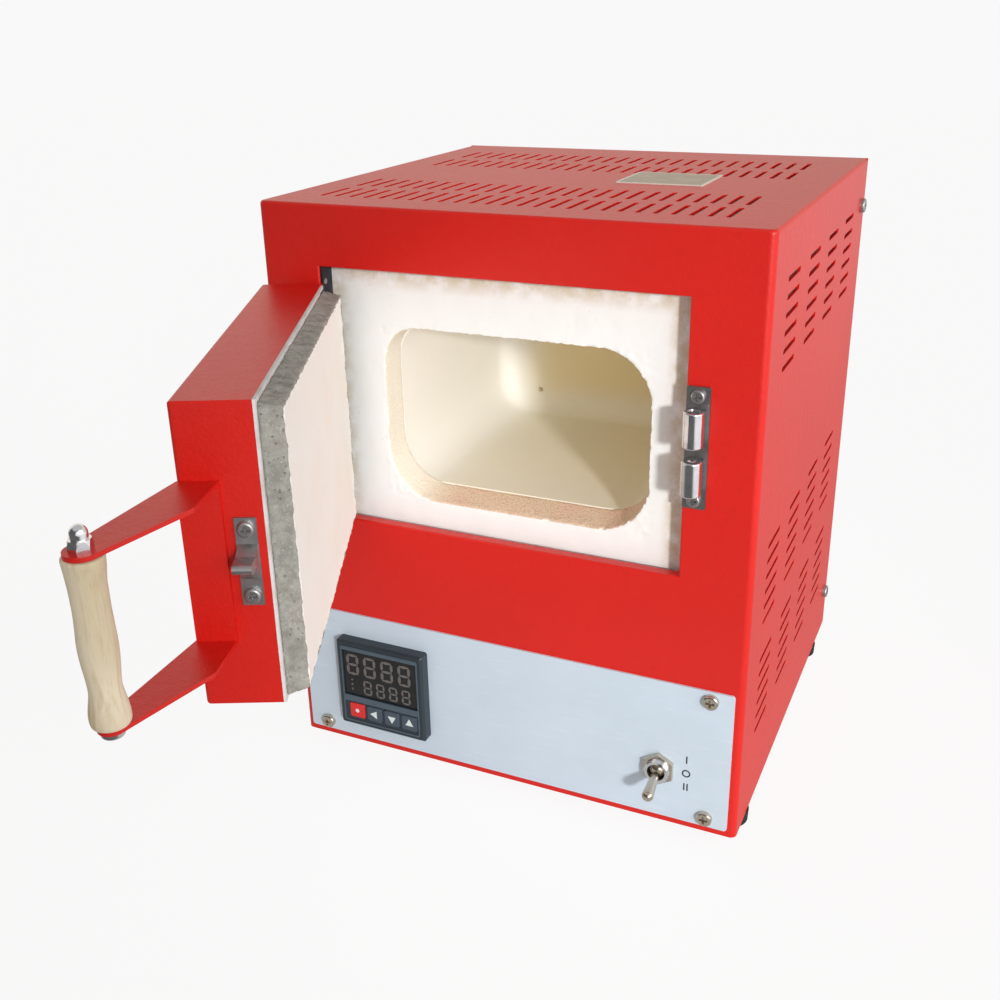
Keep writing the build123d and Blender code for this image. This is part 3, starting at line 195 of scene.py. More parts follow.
def add_box(name, low, high):
    """A cube stretched between two corners."""
    low, high = Vector(low), Vector(high)
    deselect()
    bpy.ops.mesh.primitive_cube_add(size=1, location=middle_of(low, high))
    piece = named(name)
    piece.scale = high - low
    return settle(piece)


def modify(piece, kind, **settings):
    """Adds one modifier and applies it."""
    pick(piece)
    modifier = piece.modifiers.new(kind.title(), kind)
    for setting, value in settings.items():
        setattr(modifier, setting, value)
    bpy.ops.object.modifier_apply(modifier=modifier.name)


def cut_away(piece, *cutters):
    """Takes the cutters out of the piece."""
    for cutter in cutters:
        modify(piece, "BOOLEAN", object=cutter, operation="DIFFERENCE", solver="EXACT")
        bpy.data.objects.remove(cutter)


def roughen(piece, size, depth, group=""):
    """Lumps of one size and depth, all over or in one vertex group."""
    lumps = bpy.data.textures.new(piece.name + "_lumps", "CLOUDS")
    lumps.noise_scale = size
    lumps.noise_depth = 3
    settings = {"texture_coords": "LOCAL", "mid_level": 0.5, "vertex_group": group}
    modify(piece, "DISPLACE", texture=lumps, strength=depth, **settings)


def mark_group(piece, name, test):
    """A vertex group of the points that pass the test."""
    group = piece.vertex_groups.new(name=name)
    group.add([v.index for v in piece.data.vertices if test(v.co)], 1.0, "REPLACE")
    return name


def smooth(piece, angle):
    """Smooth shading, with sharp edges above an angle in degrees."""
    pick(piece)
    bpy.ops.object.shade_smooth_by_angle(angle=math.radians(angle))


def disc(name, sides, radius, place=(0, 0, 0), turn=(0, 0, 0)):
    """A flat filled circle."""
    deselect()
    bpy.ops.mesh.primitive_circle_add(
        vertices=sides, radius=radius, fill_type="NGON", location=place, rotation=turn
    )
    return settle(named(name))


def face_outward():
    bpy.ops.mesh.select_all(action="SELECT")
    bpy.ops.mesh.normals_make_consistent(inside=False)


def thicken(piece, way):
    """Draws a flat piece out along a vector."""
    with editing(piece):
        bpy.ops.mesh.select_all(action="SELECT")
        bpy.ops.mesh.extrude_region_move(TRANSFORM_OT_translate={"value": way})
        face_outward()


def round_corners(piece, radius, segments):
    """Rounds those edges of a box that run along Y."""
    with editing(piece, "EDGE"):
        choose(piece, "edges", lambda at, way: abs(way.y) > 0.9)
        bpy.ops.mesh.bevel(offset=radius, segments=segments, affect="EDGES")


def turned(name, stations, sides=48):
    """A turned piece along Z, drawn out of a disc: stations are (height, radius)."""
    start, radius = stations[0]
    piece = disc(name, sides, radius, (0, 0, start))
    with editing(piece):
        bpy.ops.mesh.select_all(action="SELECT")
        for height, next_radius in stations[1:]:
            bpy.ops.mesh.extrude_region_move(TRANSFORM_OT_translate={"value": (0, 0, height - start)})
            scale = next_radius / radius
            bpy.ops.transform.resize(value=(scale, scale, 1), center_override=(0, 0, height))
            start, radius = height, next_radius
        face_outward()
    return piece


def drill(piece, radius, tall, sides):
    """Drills a piece that stands on the origin along Z, from below to above."""
    stations = [(-mm, radius), (tall / 2, radius), (tall + mm, radius)]
    cut_away(piece, turned("drill", stations, sides))


def put(piece, place, turn=(0, 0, 0)):
    """Turns a piece about the origin and moves it to its place."""
    piece.rotation_euler = turn
    piece.location = place
    return settle(piece)


def copy_of(piece, name, place, scale=(1, 1, 1)):
    """A scaled copy of a piece at a place."""
    pick(piece)
    bpy.ops.object.duplicate(linked=False)
    copy = named(name)
    copy.scale = scale
    copy.location = place
    return settle(copy)


def join(name, *pieces):
    pick(*pieces)
    bpy.ops.object.join()
    return named(name)


def finish_piece(piece, body, slot, *makers):
    """Gives a finished piece its materials and its body. The slot is not used."""
    if not piece.data.polygons:
        raise RuntimeError(piece.name + " came out empty")
    piece.data.materials.clear()
    for maker in makers:
        piece.data.materials.append(finish_of(maker))
    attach(piece, body)


# ---- the door's own frame: u runs from the hinge pin to the free edge, n away from the kiln ----
DOOR_ANGLE = math.radians(65)
HINGE = Vector((middle_of(PIN_LOW, PIN_HIGH).x, middle_of(PIN_LOW, PIN_HIGH).y, 0))


def door_box(node):
    """The box of a node on the door, as (u, -n, z) in the door's own frame."""
    turn = Matrix.Rotation(DOOR_ANGLE, 3, "Z")
    points = [turn @ (v.co - HINGE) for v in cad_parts[node].data.vertices]
    return (Vector([end(p[i] for p in points) for i in range(3)]) for end in (min, max))


# ---- materials ----
class Field:
    """A value that changes over a surface; arithmetic on it adds Math nodes."""

    def __init__(self, finish, socket):
        self.finish = finish
        self.socket = socket

    def maths(self, operation, *values):
        return self.finish.node("ShaderNodeMath", {"operation": operation}, *values)

    __add__ = __radd__ = lambda self, other: self.maths("ADD", self, other)
    __sub__ = lambda self, other: self.maths("SUBTRACT", self, other)
    __rsub__ = lambda self, other: self.maths("SUBTRACT", other, self)
    __mul__ = __rmul__ = lambda self, other: self.maths("MULTIPLY", self, other)
    __abs__ = lambda self: self.maths("ABSOLUTE", self)
    or_more = lambda self, other: self.maths("MAXIMUM", self, other)


class Nodes:
    """A node tree, to which node() adds any node."""

    def __init__(self, tree):
        self.tree = tree

    def node(self, kind, settings=None, *ordered, give=0, **named_sockets):
        """A node: its settings first, then its sockets in order and by name."""
        made = self.tree.nodes.new(kind)
        for setting, value in (settings or {}).items():
            setattr(made, setting, value)
        for key, value in [*enumerate(ordered), *named_sockets.items()]:
            self.feed(self.find(made.inputs, key), value)
        return Field(self, self.find(made.outputs, give)) if made.outputs else made

    @staticmethod
    def find(sockets, key):
        if isinstance(key, int):
            return sockets[key]
        return next((s for s in sockets if s.identifier == key), None) or sockets[key.replace("_", " ")]

    def feed(self, socket, value):
        if isinstance(value, Field):
            self.tree.links.new(value.socket, socket)
        else:
            socket.default_value = value

    def axis(self, letter, where=None):
        return self.node("ShaderNodeSeparateXYZ", {}, where or self.place, give=letter)

    def between(self, value, low, high):
        """0 below low, 1 above high and a smooth rise between them."""
        settings = {"interpolation_type": "SMOOTHSTEP"}
        return self.node("ShaderNodeMapRange", settings, Value=value, From_Min=low, From_Max=high)

    def mix(self, share, first, second):
        settings = {"data_type": "RGBA", "clamp_factor": True}
        return self.node(
            "ShaderNodeMix", settings, give="Result_Color", Factor_Float=share, A_Color=first, B_Color=second
        )

    def blend(self, cloud, first, second, low=0.3, high=0.7):
        """The first colour where the cloud is thin, the second where it is thick."""
        return self.mix(self.between(cloud, low, high), first, second)

    def rays(self):
        """Which rays the camera sends, and which come by way of a mirror or glass."""
        kinds = ("Is Camera Ray", "Is Glossy Ray", "Is Transmission Ray")
        seen, mirrored, through = (self.node("ShaderNodeLightPath", give=kind) for kind in kinds)
        return seen, mirrored + through


class Finish(Nodes):
    """A node material; place is the surface point in the row frame, in metres."""

    def __init__(self, name, **fixed):
        self.material = bpy.data.materials.new(name)
        self.material.use_nodes = True
        super().__init__(self.material.node_tree)
        self.shader = self.tree.nodes["Principled BSDF"]
        for socket, value in fixed.items():
            self.shader.inputs[socket.replace("_", " ")].default_value = value
        self.place = self.node("ShaderNodeTexCoord", give="Object")
        self.relief = None

    def stretched(self, y=1, z=1, turn=(0, 0, 0), shift=(0, 0, 0)):
        """The surface point scaled along Y or Z, turned and shifted."""
        settings = {"Location": shift, "Rotation": turn, "Scale": (1, y, z)}
        return self.node("ShaderNodeMapping", {}, self.place, **settings)

    def noise(self, size, detail=3.0, roughness=0.5, where=None):
        """Noise of a size in millimetres."""
        where, scale = where or self.place, 1 / (size * mm)
        return self.node(
            "ShaderNodeTexNoise", {}, Vector=where, Scale=scale, Detail=detail, Roughness=roughness
        )

    def cells(self, size, where=None, give="Distance"):
        """Cells of a size in millimetres."""
        where, scale = where or self.place, 1 / (size * mm)
        return self.node("ShaderNodeTexVoronoi", {}, give=give, Vector=where, Scale=scale)

    def raise_by(self, height, depth):
        """Relief of a depth in millimetres, on top of the relief so far."""
        fields = {"Height": height, "Distance": depth * mm}
        if self.relief:
            fields["Normal"] = self.relief
        self.relief = self.node("ShaderNodeBump", {}, give="Normal", **fields)

    def done(self, base, roughness=None, metallic=None):
        """Feeds the shader's sockets and gives the material."""
        fields = {"Base Color": base, "Roughness": roughness, "Metallic": metallic, "Normal": self.relief}
        for socket, value in fields.items():
            if value is not None:
                self.feed(self.shader.inputs[socket], value)
        return self.material


def tinted(base, share):
    """A colour made darker or lighter by a share of itself."""
    return tuple(min(1.0, c * share) for c in base[:3]) + (1.0,)


def matt(name, specular=0.2):
    return Finish(name, IOR=1.4, Specular_IOR_Level=specular)


def mouth():
    """The low and high corners of the chamber's mouth, with Y left at zero."""
    sizes = bpy.context.scene.kiln_sizes
    centre = Vector((sizes.mouth_x, 0, sizes.mouth_z))
    half = Vector((sizes.mouth_width / 2, 0, sizes.mouth_height / 2))
    return centre - half, centre + half


def red_paint(colours):
    f = Finish("textured_red_paint", IOR=1.5, Specular_IOR_Level=0.5)
    pebble = f.noise(1.2, 2.0, 0.45)
    swell = f.noise(4.5, 1.0)
    cloud = f.noise(70)
    speck = 1 - f.between(f.cells(1.9), 0.0, 0.22)
    base = f.blend(cloud, tinted(colours.red, 0.95), colours.red)
    base = f.mix(0.10 * speck, base, tinted(colours.red, 1.25))
    base = f.mix(0.25 * f.between(swell, 0.55, 0.75), base, tinted(colours.red, 0.86))
    f.raise_by(pebble, 0.09)
    f.raise_by(swell, 0.12)
    return f.done(base, 0.33 + 0.12 * pebble)


def plate_paint(colours):
    f = Finish("pale_plate_paint", IOR=1.45)
    grain = f.noise(0.5, 2.0)
    haze = f.noise(38, 3.0, 0.6)
    wipe = f.noise(14, 2.0, where=f.stretched(z=6))
    base = f.blend(haze, tinted(colours.plate, 0.95), colours.plate, 0.25, 0.75)
    base = f.mix(0.12 * f.between(wipe, 0.55, 0.75), base, (0.88, 0.93, 0.98, 1))
    f.raise_by(grain, 0.012)
    return f.done(base, 0.30 + 0.10 * haze + 0.05 * grain)


def label_film(colours):
    f = Finish("metallic_label_film", IOR=1.5)
    middle = middle_of(LABEL_LOW, LABEL_HIGH)
    half = (LABEL_HIGH - LABEL_LOW) / 2
    rim_inside, rim_outside = 1.6 * mm, 1.3 * mm
    sides, ends = (
        f.between(abs(f.axis(letter) - centre), reach - rim_inside, reach - rim_outside)
        for letter, centre, reach in zip("XY", middle, half)
    )
    edge = sides.or_more(ends)
    cloud = f.noise(9)
    base = f.blend(cloud, paint(152, 138, 118), paint(176, 160, 138))
    base = f.mix(edge, base, paint(222, 220, 208))
    f.raise_by(f.noise(2.5, 2.0), 0.02)
    return f.done(base, 0.30 + 0.15 * cloud, 0.45 - 0.40 * edge)


def board_face(colours):
    f = matt("white_fibre_board")
    low, high = mouth()
    side = f.between(f.axis("X"), high.x + 5 * mm, high.x + 12 * mm)
    left = 1 - f.between(f.axis("X"), low.x - 24 * mm, low.x - 14 * mm)
    top = f.between(f.axis("Z"), high.z + 15 * mm, high.z + 25 * mm)
    blotch = f.noise(7, 4.0, 0.6)
    fibre = f.noise(0.7, 3.0, 0.7)
    pits = 1 - f.between(f.cells(2.8, where=f.stretched(shift=(0.4, 0.1, 0.2))), 0.04, 0.12)
    rare = f.between(f.noise(11, 2.0), 0.58, 0.68)
    # Painted shade: a blotchy tan laid on the bands right of the mouth, left of it and along the board's
    # top, where the case's front shades the board.
    rim = side.or_more(left.or_more(top))
    soil_and_shade = rim * f.between(blotch, 0.25, 0.65)
    base = f.mix(0.75 * soil_and_shade, colours.board, paint(212, 194, 158))
    base = f.mix(0.40 * pits * rare, base, paint(168, 150, 124))
    base = f.mix(0.06 * fibre, base, paint(236, 228, 214))
    f.raise_by(fibre, 0.05)
    f.raise_by(blotch, 0.08)
    f.raise_by(1 - pits, 0.10)
    return f.done(base, 0.82 + 0.1 * fibre)


def sawn_lip(colours):
    f = matt("sawn_board_lip", 0.15)
    grit = f.noise(0.7, 3.0, 0.75)
    crumbs = f.cells(1.3)
    warm = f.noise(13)
    left = mouth()[0].x
    # Painted light: the lip's left side faces the key lamp and is painted pale, with less dark grit.
    pale = 1 - f.between(f.axis("X"), left + 6 * mm, left + 34 * mm)
    base = f.blend(warm, colours.lip, paint(244, 216, 188), 0.35, 0.65)
    base = f.mix(0.92 * pale, base, paint(255, 250, 236))
    base = f.mix(0.60 * f.between(grit, 0.54, 0.64) * (1 - 0.9 * pale), base, paint(178, 128, 102))
    base = f.mix(0.55 * (1 - f.between(grit, 0.38, 0.47)), base, paint(252, 236, 216))
    f.raise_by(crumbs, 0.30)
    f.raise_by(grit, 0.22)
    return f.done(base, 0.9 - 0.1 * grit)


def chamber_lining(colours):
    """Smooth lining in its own cream colour toward the back and the right, where it lies in shade, and
    painted white as light on the left wall and the floor.
    """
    f = matt("smooth_chamber_lining")
    low = mouth()[0]
    cloud = f.noise(55, 3.0, 0.5)
    fine = f.noise(3)
    spot = 1 - f.between(f.cells(14), 0.02, 0.05)
    # Painted light: the left wall and the floor are painted white, and the lining's own colour comes in
    # toward the right and upward, where it lies in shade.
    across = f.between(f.axis("X"), low.x + 4 * mm, low.x + 34 * mm)
    above = f.between(f.axis("Z"), low.z + 6 * mm, low.z + 26 * mm)
    shaded_share = across * (0.3 + 0.7 * above)
    base = f.blend(cloud, colours.chamber, tinted(colours.chamber, 0.95), 0.3, 0.75)
    base = f.mix(shaded_share, paint(255, 253, 246), base)
    base = f.mix(0.35 * spot * f.between(cloud, 0.5, 0.6), base, paint(150, 124, 88))
    f.raise_by(fine, 0.04)
    return f.done(base, 0.66 + 0.15 * fine)


def cement_skim(colours):
    f = matt("grey_cement_skim")
    sand = f.noise(0.9, 3.0, 0.7)
    trowel = f.noise(5, 3.0, 0.55)
    holes = 1 - f.between(f.cells(2.4), 0.08, 0.2)
    base = f.blend(trowel, tinted(colours.cement, 0.84), tinted(colours.cement, 1.22))
    base = f.mix(0.5 * f.between(sand, 0.55, 0.7), base, paint(208, 206, 198))
    base = f.mix(0.55 * holes, base, paint(104, 101, 94))
    f.raise_by(trowel, 0.5)
    f.raise_by(sand, 0.22)
    f.raise_by(1 - holes, 0.25)
    return f.done(base, 0.85 + 0.1 * sand)


def slab_face(colours):
    f = matt("scorched_door_board")
    cloud = f.noise(30, 4.0, 0.6)
    fibre = f.noise(0.8, 3.0, 0.7, where=f.stretched(z=0.6))
    marks = f.between(f.noise(9, 3.0, 0.6, where=f.stretched(z=0.35)), 0.70, 0.78)
    base = f.blend(cloud, paint(254, 254, 250), paint(252, 248, 240), 0.35, 0.75)
    base = f.mix(0.30 * marks, base, paint(206, 184, 146))
    f.raise_by(fibre, 0.05)
    f.raise_by(cloud, 0.10)
    return f.done(base, 0.78 + 0.12 * fibre)


def gasket_paper(colours):
    f = matt("white_gasket_paper")
    weave = f.noise(0.5, 2.0, 0.7)
    soil_and_shade = f.noise(10)
    base = f.blend(soil_and_shade, paint(228, 227, 226), paint(206, 200, 196), 0.4, 0.8)
    f.raise_by(weave, 0.08)
    return f.done(base, 0.8 + 0.15 * weave)


def turned_wood(colours):
    f = Finish("turned_pale_wood", IOR=1.45, Specular_IOR_Level=0.35)
    grip = middle_of(GRIP_LOW, GRIP_HIGH)
    bend = f.noise(22, 2.0, where=f.stretched(z=0.5))
    across = f.stretched(turn=(0.05, 0.09, 0.3), shift=(-grip.x, -grip.y, 0))
    ring_pitch = 14 * mm
    rings = f.node(
        "ShaderNodeTexWave", {"wave_type": "BANDS", "bands_direction": "X"}, Vector=across,
        Scale=1 / ring_pitch / 6.28, Distortion=2.4, Detail=2.0, Detail_Scale=0.6,
    )
    pores = f.noise(0.35, 2.0, 0.7, where=f.stretched(z=0.05))
    streak = f.noise(1.8, 2.0, where=f.stretched(z=0.05))
    soil_and_shade = f.noise(7, 3.0, 0.6, where=f.stretched(z=0.4))
    base = f.blend(rings, colours.wood, paint(216, 200, 168), 0.2, 0.95)
    base = f.mix(0.50 * f.between(streak, 0.50, 0.70), base, paint(198, 176, 138))
    base = f.mix(0.35 * f.between(bend, 0.52, 0.74), base, paint(202, 180, 144))
    base = f.mix(0.35 * f.between(soil_and_shade, 0.55, 0.75), base, paint(186, 164, 130))
    base = f.mix(0.25 * f.between(pores, 0.55, 0.75), base, paint(170, 144, 104))
    f.raise_by(pores, 0.03)
    f.raise_by(streak, 0.06)
    return f.done(base, 0.46 + 0.12 * streak)


def chosen(colours, tone):
    """A user's colour by its name, or one given as it looks on a screen."""
    return getattr(colours, tone) if isinstance(tone, str) else paint(*tone)


def polished(name, tone, roughness, colours):
    """Polished plating: faint turning lines and a little haze."""
    f = Finish(name, IOR=2.0)
    rgb = chosen(colours, tone)
    haze = f.noise(6)
    lines = f.noise(0.35, 2.0, where=f.stretched(z=0.06))
    base = f.blend(haze, rgb, tinted(rgb, 0.86))
    f.raise_by(lines, 0.006)
    return f.done(base, roughness + 0.10 * haze, 0.97 + 0.02 * haze)


def zinc(name, pale, colours):
    """Dull plating with a faint spangle."""
    f = Finish(name, IOR=2.0)
    rgb = colours.steel
    spangle = f.cells(1.6, give="Color")
    haze = f.noise(3)
    grey = f.node("ShaderNodeSeparateColor", {}, spangle, give="Red")
    base = f.mix(0.30 * grey, tinted(rgb, pale), tinted(rgb, 1.5 * pale))
    f.raise_by(haze, 0.02)
    return f.done(base, 0.34 + 0.16 * haze, 0.92 + 0.05 * haze)


def blued_strip(colours):
    f = Finish("blued_steel_strip", IOR=2.0)
    rub = f.noise(4, where=f.stretched(z=0.3))
    base = f.blend(rub, paint(48, 48, 62), paint(92, 90, 100), 0.4, 0.7)
    f.raise_by(f.noise(0.6, 2.0), 0.01)
    return f.done(base, 0.34 + 0.2 * rub, 0.78 + 0.1 * rub)


def bare_sheet(colours):
    f = Finish("bare_inner_sheet", IOR=2.0)
    roll = f.noise(1.2, 2.0, where=f.stretched(y=0.05))
    stain = f.noise(30, 4.0, 0.6)
    base = f.blend(stain, paint(176, 178, 180), paint(162, 162, 160))
    f.raise_by(roll, 0.01)
    return f.done(base, 0.40 + 0.05 * stain, 0.9 + 0.05 * roll)


def moulded(name, tone, roughness, grain, depth, colours):
    """Moulded plastic or rubber: fine grain, faint clouding and scuffs."""
    f = Finish(name, IOR=1.5)
    rgb = chosen(colours, tone)
    skin = f.noise(grain, 2.0, 0.6)
    cloud = f.noise(18)
    scuff = f.between(f.noise(2.4, 3.0, 0.7, where=f.stretched(z=0.3)), 0.62, 0.74)
    base = f.blend(cloud, tinted(rgb, 0.9), rgb)
    base = f.mix(0.12 * scuff, base, tinted(rgb, 1.8))
    f.raise_by(skin, depth)
    return f.done(base, roughness - 0.05 + 0.1 * cloud + 0.08 * scuff)


def window_lens(colours):
    f = Finish("dark_window_lens", IOR=1.5, Specular_IOR_Level=0.3, Coat_Weight=0.15, Coat_Roughness=0.06)
    dust = f.noise(1.1, 3.0, 0.7)
    haze = f.noise(9, 2.0)
    base = f.blend(haze, paint(24, 26, 28), paint(32, 33, 34))
    base = f.mix(0.10 * f.between(dust, 0.6, 0.75), base, paint(120, 120, 116))
    f.raise_by(haze, 0.01)
    return f.done(base, 0.2 + 0.12 * dust)


def unlit_segment(colours):
    f = Finish("unlit_segment", IOR=1.5)
    cloud = f.noise(3, 2.0)
    base = f.mix(cloud, paint(96, 94, 92), paint(112, 106, 104))
    f.raise_by(f.noise(0.3, 2.0), 0.004)
    return f.done(base, 0.4 + 0.15 * cloud)


def clouded(name, grain, thin, thick, depth, dull, spread, colours, reach=(0.3, 0.7), metal=0.0, ior=1.5):
    """Colour, relief and roughness that all follow one noise; metal varies too, where there is any."""
    f = Finish(name, IOR=ior)
    cloud = f.noise(*grain)
    base = f.blend(cloud, paint(*thin), paint(*thick), *reach)
    f.raise_by(cloud, depth)
    return f.done(base, dull + spread * cloud, metal + 0.2 * cloud if metal else None)


def packing_wool(colours):
    f = matt("packing_wool", 0.15)
    fibre = f.noise(1.0, 4.0, 0.75, where=f.stretched(y=0.3))
    tuft = f.noise(9)
    base = f.blend(tuft, paint(238, 234, 224), paint(214, 206, 190))
    f.raise_by(fibre, 0.3)
    f.raise_by(tuft, 0.6)
    return f.done(base, 0.9 - 0.05 * fibre)


def milled_aluminium(colours):
    f = Finish("milled_aluminium", IOR=1.8)
    lines = f.noise(0.4, 2.0, where=f.stretched(y=0.04))
    cloud = f.noise(20, 2.0)
    base = f.blend(cloud, paint(198, 200, 204), paint(170, 172, 176))
    f.raise_by(lines, 0.01)
    return f.done(base, 0.28 + 0.16 * lines, 0.93 + 0.04 * cloud)


def like(maker, *settings, **more):
    """A maker with all its settings given, which still takes the user's colours."""
    return lambda colours: maker(*settings, colours, **more)


bright_plating = like(polished, "bright_plating", "chrome", 0.08)
warm_nickel = like(polished, "warm_nickel", "nickel", 0.15)
dull_zinc = like(zinc, "dull_zinc_plating", 0.62)
dark_zinc = like(zinc, "dark_zinc_plating", 0.44)
# What is moulded: its colour, its roughness, and the size and depth of its grain.
controller_casing = like(moulded, "controller_casing", "casing", 0.42, 0.6, 0.02)
fascia_film = like(moulded, "controller_fascia", "fascia", 0.34, 0.35, 0.008)
red_key = like(moulded, "red_key_rubber", "key_red", 0.26, 0.3, 0.006)
grey_key = like(moulded, "grey_key_rubber", "key_grey", 0.36, 0.3, 0.01)
foot_rubber = like(moulded, "foot_rubber", (24, 24, 25), 0.7, 0.5, 0.05)
black_moulding = like(moulded, "black_moulding", (30, 30, 32), 0.4, 0.6, 0.03)
wire_sleeve = like(moulded, "wire_sleeve", (216, 208, 190), 0.5, 0.4, 0.02)
cream_block = like(moulded, "cream_terminal_block", (222, 214, 190), 0.5, 0.6, 0.02)
# What is clouded: its noise, both colours, the relief's depth, the roughness and its spread.
printed_mark = like(
    clouded, "printed_dark_mark", (0.4, 3.0, 0.7), (22, 24, 28), (48, 52, 58), 0.004, 0.45, 0.15,
    reach=(0.35, 0.75),
)
key_print = like(
    clouded, "pale_key_print", (0.3, 3.0, 0.7), (232, 240, 242), (200, 212, 216), 0.004, 0.4, 0.15,
    reach=(0.3, 0.8),
)
oxide_wire = like(
    clouded, "oxidised_resistance_wire", (1.0, 3.0), (96, 92, 88), (60, 56, 54), 0.03, 0.5, 0.2,
    metal=0.55, ior=2.0,
)
probe_porcelain = like(
    clouded, "probe_porcelain", (3, 3.0), (232, 214, 178), (214, 194, 154), 0.02, 0.35, 0.2
)

FINISHES = {
    red_paint: ("outer_case", "door_shell", "handle_bracket"),
    plate_paint: ("control_plate",),
    label_film: ("top_label",),
    board_face: ("front_brick",),
    chamber_lining: ("chamber_muffle",),
    cement_skim: ("slab_cement_edge",),
    slab_face: ("door_slab",),
    gasket_paper: ("door_gasket",),
    turned_wood: ("handle_grip",),
    bright_plating: (
        "catch_barrel_upper", "catch_barrel_lower", "catch_ball_upper", "catch_ball_lower", "handle_nut",
        "handle_bolt", "catch_spring_upper", "catch_spring_lower",
    ),
    warm_nickel: ("toggle_lever", "toggle_bushing", "toggle_nut", "control_plate_screws"),
    dull_zinc: (
        "strike_plate", "strike_screws", "catch_screws", "catch_adjusters", "back_panel_screws",
        "foot_screws", "equipment_screws", "hinge_rivets",
    ),
    dark_zinc: ("catch_plate",),
    blued_strip: ("hinge_case_leaf", "hinge_door_leaf", "hinge_pin"),
    bare_sheet: ("back_panel", "base_plate", "chamber_liner", "heat_shield_shelf"),
    controller_casing: ("controller_bezel", "controller_housing", "controller_clamp"),
    window_lens: ("controller_window",),
    red_key: ("set_button",),
    grey_key: ("left_button", "down_button", "up_button"),
    foot_rubber: ("rubber_feet",),
    black_moulding: ("power_inlet", "fuse_holder", "power_relay", "toggle_body"),
    cream_block: ("terminal_block",),
    wire_sleeve: ("internal_wiring",),
    oxide_wire: ("heating_element",),
    probe_porcelain: ("thermocouple",),
    packing_wool: ("muffle_insulation", "door_insulation"),
    milled_aluminium: ("cooling_plate",),
}


@cache
def finish_of(maker):
    """The material that a maker gives, made once."""
    return maker(bpy.context.scene.kiln_colours)


